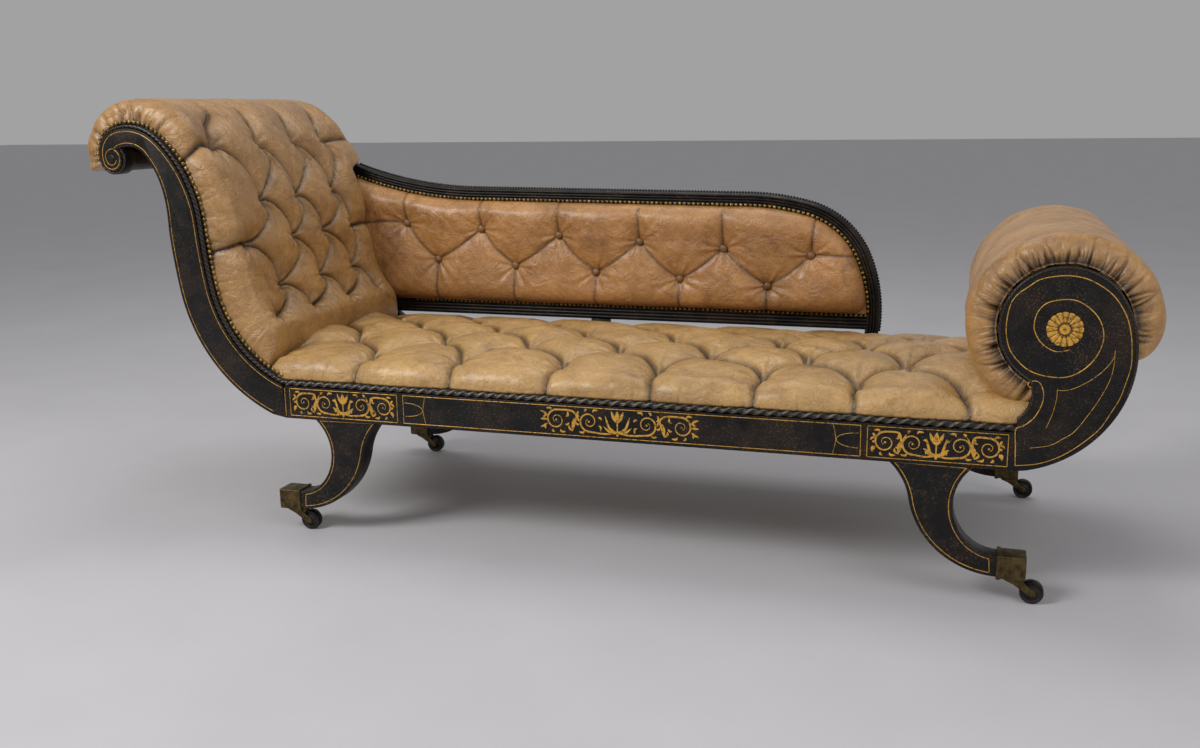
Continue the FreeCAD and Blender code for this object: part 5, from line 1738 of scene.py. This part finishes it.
class RecamierSizes(bpy.types.PropertyGroup):
    """Sizes of the upholstery and the trim"""
    seat_tuft_depth: bpy.props.FloatProperty(
        name="Seat tuft depth", description="How far the folds of the seat sink below its puffs",
        default=0.026, min=0.0, max=0.035, unit="LENGTH")
    head_tuft_depth: bpy.props.FloatProperty(
        name="Head tuft depth", description="How far the folds of the head sink below its puffs",
        default=0.025, min=0.0, max=0.035, unit="LENGTH")
    arm_pleat_depth: bpy.props.FloatProperty(
        name="Bolster pleat depth", description="How far the pleats at the ends of the bolster sink in",
        default=0.0056, min=0.0, max=0.010, unit="LENGTH")
    nail_spacing: bpy.props.FloatProperty(
        name="Nail spacing", description="Distance from one brass nail to the next",
        default=0.0105, min=0.0085, max=0.05, unit="LENGTH")
    gilt_width: bpy.props.FloatProperty(
        name="Gilt line width", description="Width of the painted gilt lines",
        default=0.0014, min=0.0005, max=0.004, unit="LENGTH")
    rope_pitch: bpy.props.FloatProperty(
        name="Rope pitch", description="Length of one full twist of the rope moulding",
        default=0.040, min=0.015, max=0.12, unit="LENGTH")


class RecamierColours(bpy.types.PropertyGroup):
    """Colours of the finishes"""
    seat: bpy.props.FloatVectorProperty(
        name="Seat leather", description="Main colour of the seat", subtype="COLOR", size=3,
        min=0.0, max=1.0, default=colour("B08B55"))
    head: bpy.props.FloatVectorProperty(
        name="Head leather", description="Main colour of the padding at the head", subtype="COLOR", size=3,
        min=0.0, max=1.0, default=colour("A37B48"))
    back: bpy.props.FloatVectorProperty(
        name="Back leather", description="Main colour of the back cushion", subtype="COLOR", size=3,
        min=0.0, max=1.0, default=colour("A87A48"))
    arm: bpy.props.FloatVectorProperty(
        name="Bolster leather", description="Main colour of the bolster and the outside covers",
        subtype="COLOR", size=3, min=0.0, max=1.0, default=colour("AA804B"))
    wood: bpy.props.FloatVectorProperty(
        name="Painted wood", description="Colour of the black painted wood", subtype="COLOR", size=3,
        min=0.0, max=1.0, default=colour("0B0A0A"))
    gilt: bpy.props.FloatVectorProperty(
        name="Gilding", description="Colour of the gilt ornament", subtype="COLOR", size=3,
        min=0.0, max=1.0, default=colour("CF9A38"))
    brass: bpy.props.FloatVectorProperty(
        name="Brass", description="Colour of the patinated castors", subtype="COLOR", size=3,
        min=0.0, max=1.0, default=colour("6B5A35"))


class RecamierLight(bpy.types.PropertyGroup):
    """Light and floor of the stage"""
    window_power: bpy.props.FloatProperty(
        name="Window power", description="Power of the main lamp in watts",
        default=92.0, min=0.0, subtype="POWER")
    fill_power: bpy.props.FloatProperty(
        name="Fill power", description="Power of the fill lamp in watts",
        default=30.0, min=0.0, subtype="POWER")
    top_power: bpy.props.FloatProperty(
        name="Top power", description="Power of the lamp overhead in watts",
        default=30.0, min=0.0, subtype="POWER")
    floor: bpy.props.FloatVectorProperty(
        name="Floor", description="Colour of the floor", subtype="COLOR", size=3,
        min=0.0, max=1.0, default=colour("BFBDC0"))


class RECAMIER_OT_seat(bpy.types.Operator):
    """Models the buttoned seat cushion"""
    bl_idname = "recamier.seat"
    bl_label = "Seat cushion"

    def execute(self, context):
        make_seat()
        return {"FINISHED"}


class RECAMIER_OT_head(bpy.types.Operator):
    """Models the buttoned padding of the scrolled head"""
    bl_idname = "recamier.head"
    bl_label = "Head cushion"

    def execute(self, context):
        make_head()
        return {"FINISHED"}


class RECAMIER_OT_arm(bpy.types.Operator):
    """Models the round bolster of the foot end"""
    bl_idname = "recamier.arm"
    bl_label = "Bolster"

    def execute(self, context):
        make_arm()
        return {"FINISHED"}


class RECAMIER_OT_back_cushion(bpy.types.Operator):
    """Models the shallow buttoned back and its covered buttons"""
    bl_idname = "recamier.back_cushion"
    bl_label = "Back cushion"

    def execute(self, context):
        make_back()
        make_buttons()
        return {"FINISHED"}


class RECAMIER_OT_boards(bpy.types.Operator):
    """Models the boards of the head end and of the foot end"""
    bl_idname = "recamier.boards"
    bl_label = "Scrolled boards"

    def execute(self, context):
        make_boards()
        return {"FINISHED"}


class RECAMIER_OT_legs(bpy.types.Operator):
    """Models the four sabre legs"""
    bl_idname = "recamier.legs"
    bl_label = "Sabre legs"

    def execute(self, context):
        make_legs()
        return {"FINISHED"}


class RECAMIER_OT_rail(bpy.types.Operator):
    """Models the front seat rail"""
    bl_idname = "recamier.rail"
    bl_label = "Front rail"

    def execute(self, context):
        make_rail()
        return {"FINISHED"}


class RECAMIER_OT_mouldings(bpy.types.Operator):
    """Models the rope-twist mouldings"""
    bl_idname = "recamier.mouldings"
    bl_label = "Rope mouldings"

    def execute(self, context):
        make_mouldings()
        return {"FINISHED"}


class RECAMIER_OT_back_frame(bpy.types.Operator):
    """Models the reeded frame of the low back, its block and its beaded edge"""
    bl_idname = "recamier.back_frame"
    bl_label = "Back frame"

    def execute(self, context):
        make_back_rails()
        make_beads()
        return {"FINISHED"}


class RECAMIER_OT_nails(bpy.types.Operator):
    """Models the rows of brass nails"""
    bl_idname = "recamier.nails"
    bl_label = "Nails"

    def execute(self, context):
        make_nails()
        return {"FINISHED"}


class RECAMIER_OT_ornament(bpy.types.Operator):
    """Models the patera and the painted gilt ornament"""
    bl_idname = "recamier.ornament"
    bl_label = "Gilt ornament"

    def execute(self, context):
        make_patera()
        make_ornament()
        return {"FINISHED"}


class RECAMIER_OT_castors(bpy.types.Operator):
    """Models the sockets, forks and wheels of the four castors"""
    bl_idname = "recamier.castors"
    bl_label = "Castors"

    def execute(self, context):
        make_castors()
        return {"FINISHED"}


class RECAMIER_OT_covers(bpy.types.Operator):
    """Models the outside covers of the head and the back"""
    bl_idname = "recamier.covers"
    bl_label = "Outside covers"

    def execute(self, context):
        make_head_cover()
        make_back_cover()
        return {"FINISHED"}


class RECAMIER_OT_webbing(bpy.types.Operator):
    """Models the woven webbing of the seat and the cloth on it"""
    bl_idname = "recamier.webbing"
    bl_label = "Webbing and base cloth"

    def execute(self, context):
        make_webbing()
        make_base_cloth()
        return {"FINISHED"}


class RECAMIER_OT_solids(bpy.types.Operator):
    """Gives the hidden frame members their finishes"""
    bl_idname = "recamier.solids"
    bl_label = "Plain frame members"

    def execute(self, context):
        dress_solids()
        return {"FINISHED"}


class RECAMIER_OT_stage(bpy.types.Operator):
    """Sets up the floor, the light and the camera"""
    bl_idname = "recamier.stage"
    bl_label = "Stage"

    def execute(self, context):
        make_stage()
        return {"FINISHED"}


OPERATORS = (
    RECAMIER_OT_seat, RECAMIER_OT_head, RECAMIER_OT_arm, RECAMIER_OT_back_cushion,
    RECAMIER_OT_boards, RECAMIER_OT_legs, RECAMIER_OT_rail, RECAMIER_OT_mouldings,
    RECAMIER_OT_back_frame, RECAMIER_OT_nails, RECAMIER_OT_ornament, RECAMIER_OT_castors,
    RECAMIER_OT_covers, RECAMIER_OT_webbing, RECAMIER_OT_solids, RECAMIER_OT_stage)


class RECAMIER_PT_main(bpy.types.Panel):
    """Lists the pieces of the recamier and their settings"""
    bl_idname = "RECAMIER_PT_main"
    bl_label = "Recamier"
    bl_space_type = "VIEW_3D"
    bl_region_type = "UI"
    bl_category = "Recamier"

    def draw(self, context):
        for settings in (context.scene.recamier_sizes, context.scene.recamier_colours,
                         context.scene.recamier_light):
            box = self.layout.box()
            for name in settings.__annotations__:
                box.prop(settings, name)
        for operator in OPERATORS:
            self.layout.operator(operator.bl_idname)


CLASSES = (RecamierSizes, RecamierColours, RecamierLight, *OPERATORS, RECAMIER_PT_main)


def register():
    for cls in CLASSES:
        bpy.utils.register_class(cls)
    bpy.types.Scene.recamier_sizes = bpy.props.PointerProperty(type=RecamierSizes)
    bpy.types.Scene.recamier_colours = bpy.props.PointerProperty(type=RecamierColours)
    bpy.types.Scene.recamier_light = bpy.props.PointerProperty(type=RecamierLight)


def unregister():
    del bpy.types.Scene.recamier_light
    del bpy.types.Scene.recamier_colours
    del bpy.types.Scene.recamier_sizes
    for cls in reversed(CLASSES):
        bpy.utils.unregister_class(cls)


def main():
    register()
    bpy.ops.recamier.stage()
    bpy.ops.recamier.solids()
    bpy.ops.recamier.seat()
    bpy.ops.recamier.head()
    bpy.ops.recamier.arm()
    bpy.ops.recamier.back_cushion()
    bpy.ops.recamier.boards()
    bpy.ops.recamier.legs()
    bpy.ops.recamier.rail()
    bpy.ops.recamier.mouldings()
    bpy.ops.recamier.back_frame()
    bpy.ops.recamier.nails()
    bpy.ops.recamier.ornament()
    bpy.ops.recamier.castors()
    bpy.ops.recamier.covers()
    bpy.ops.recamier.webbing()


if __name__ == "__main__":
    main()
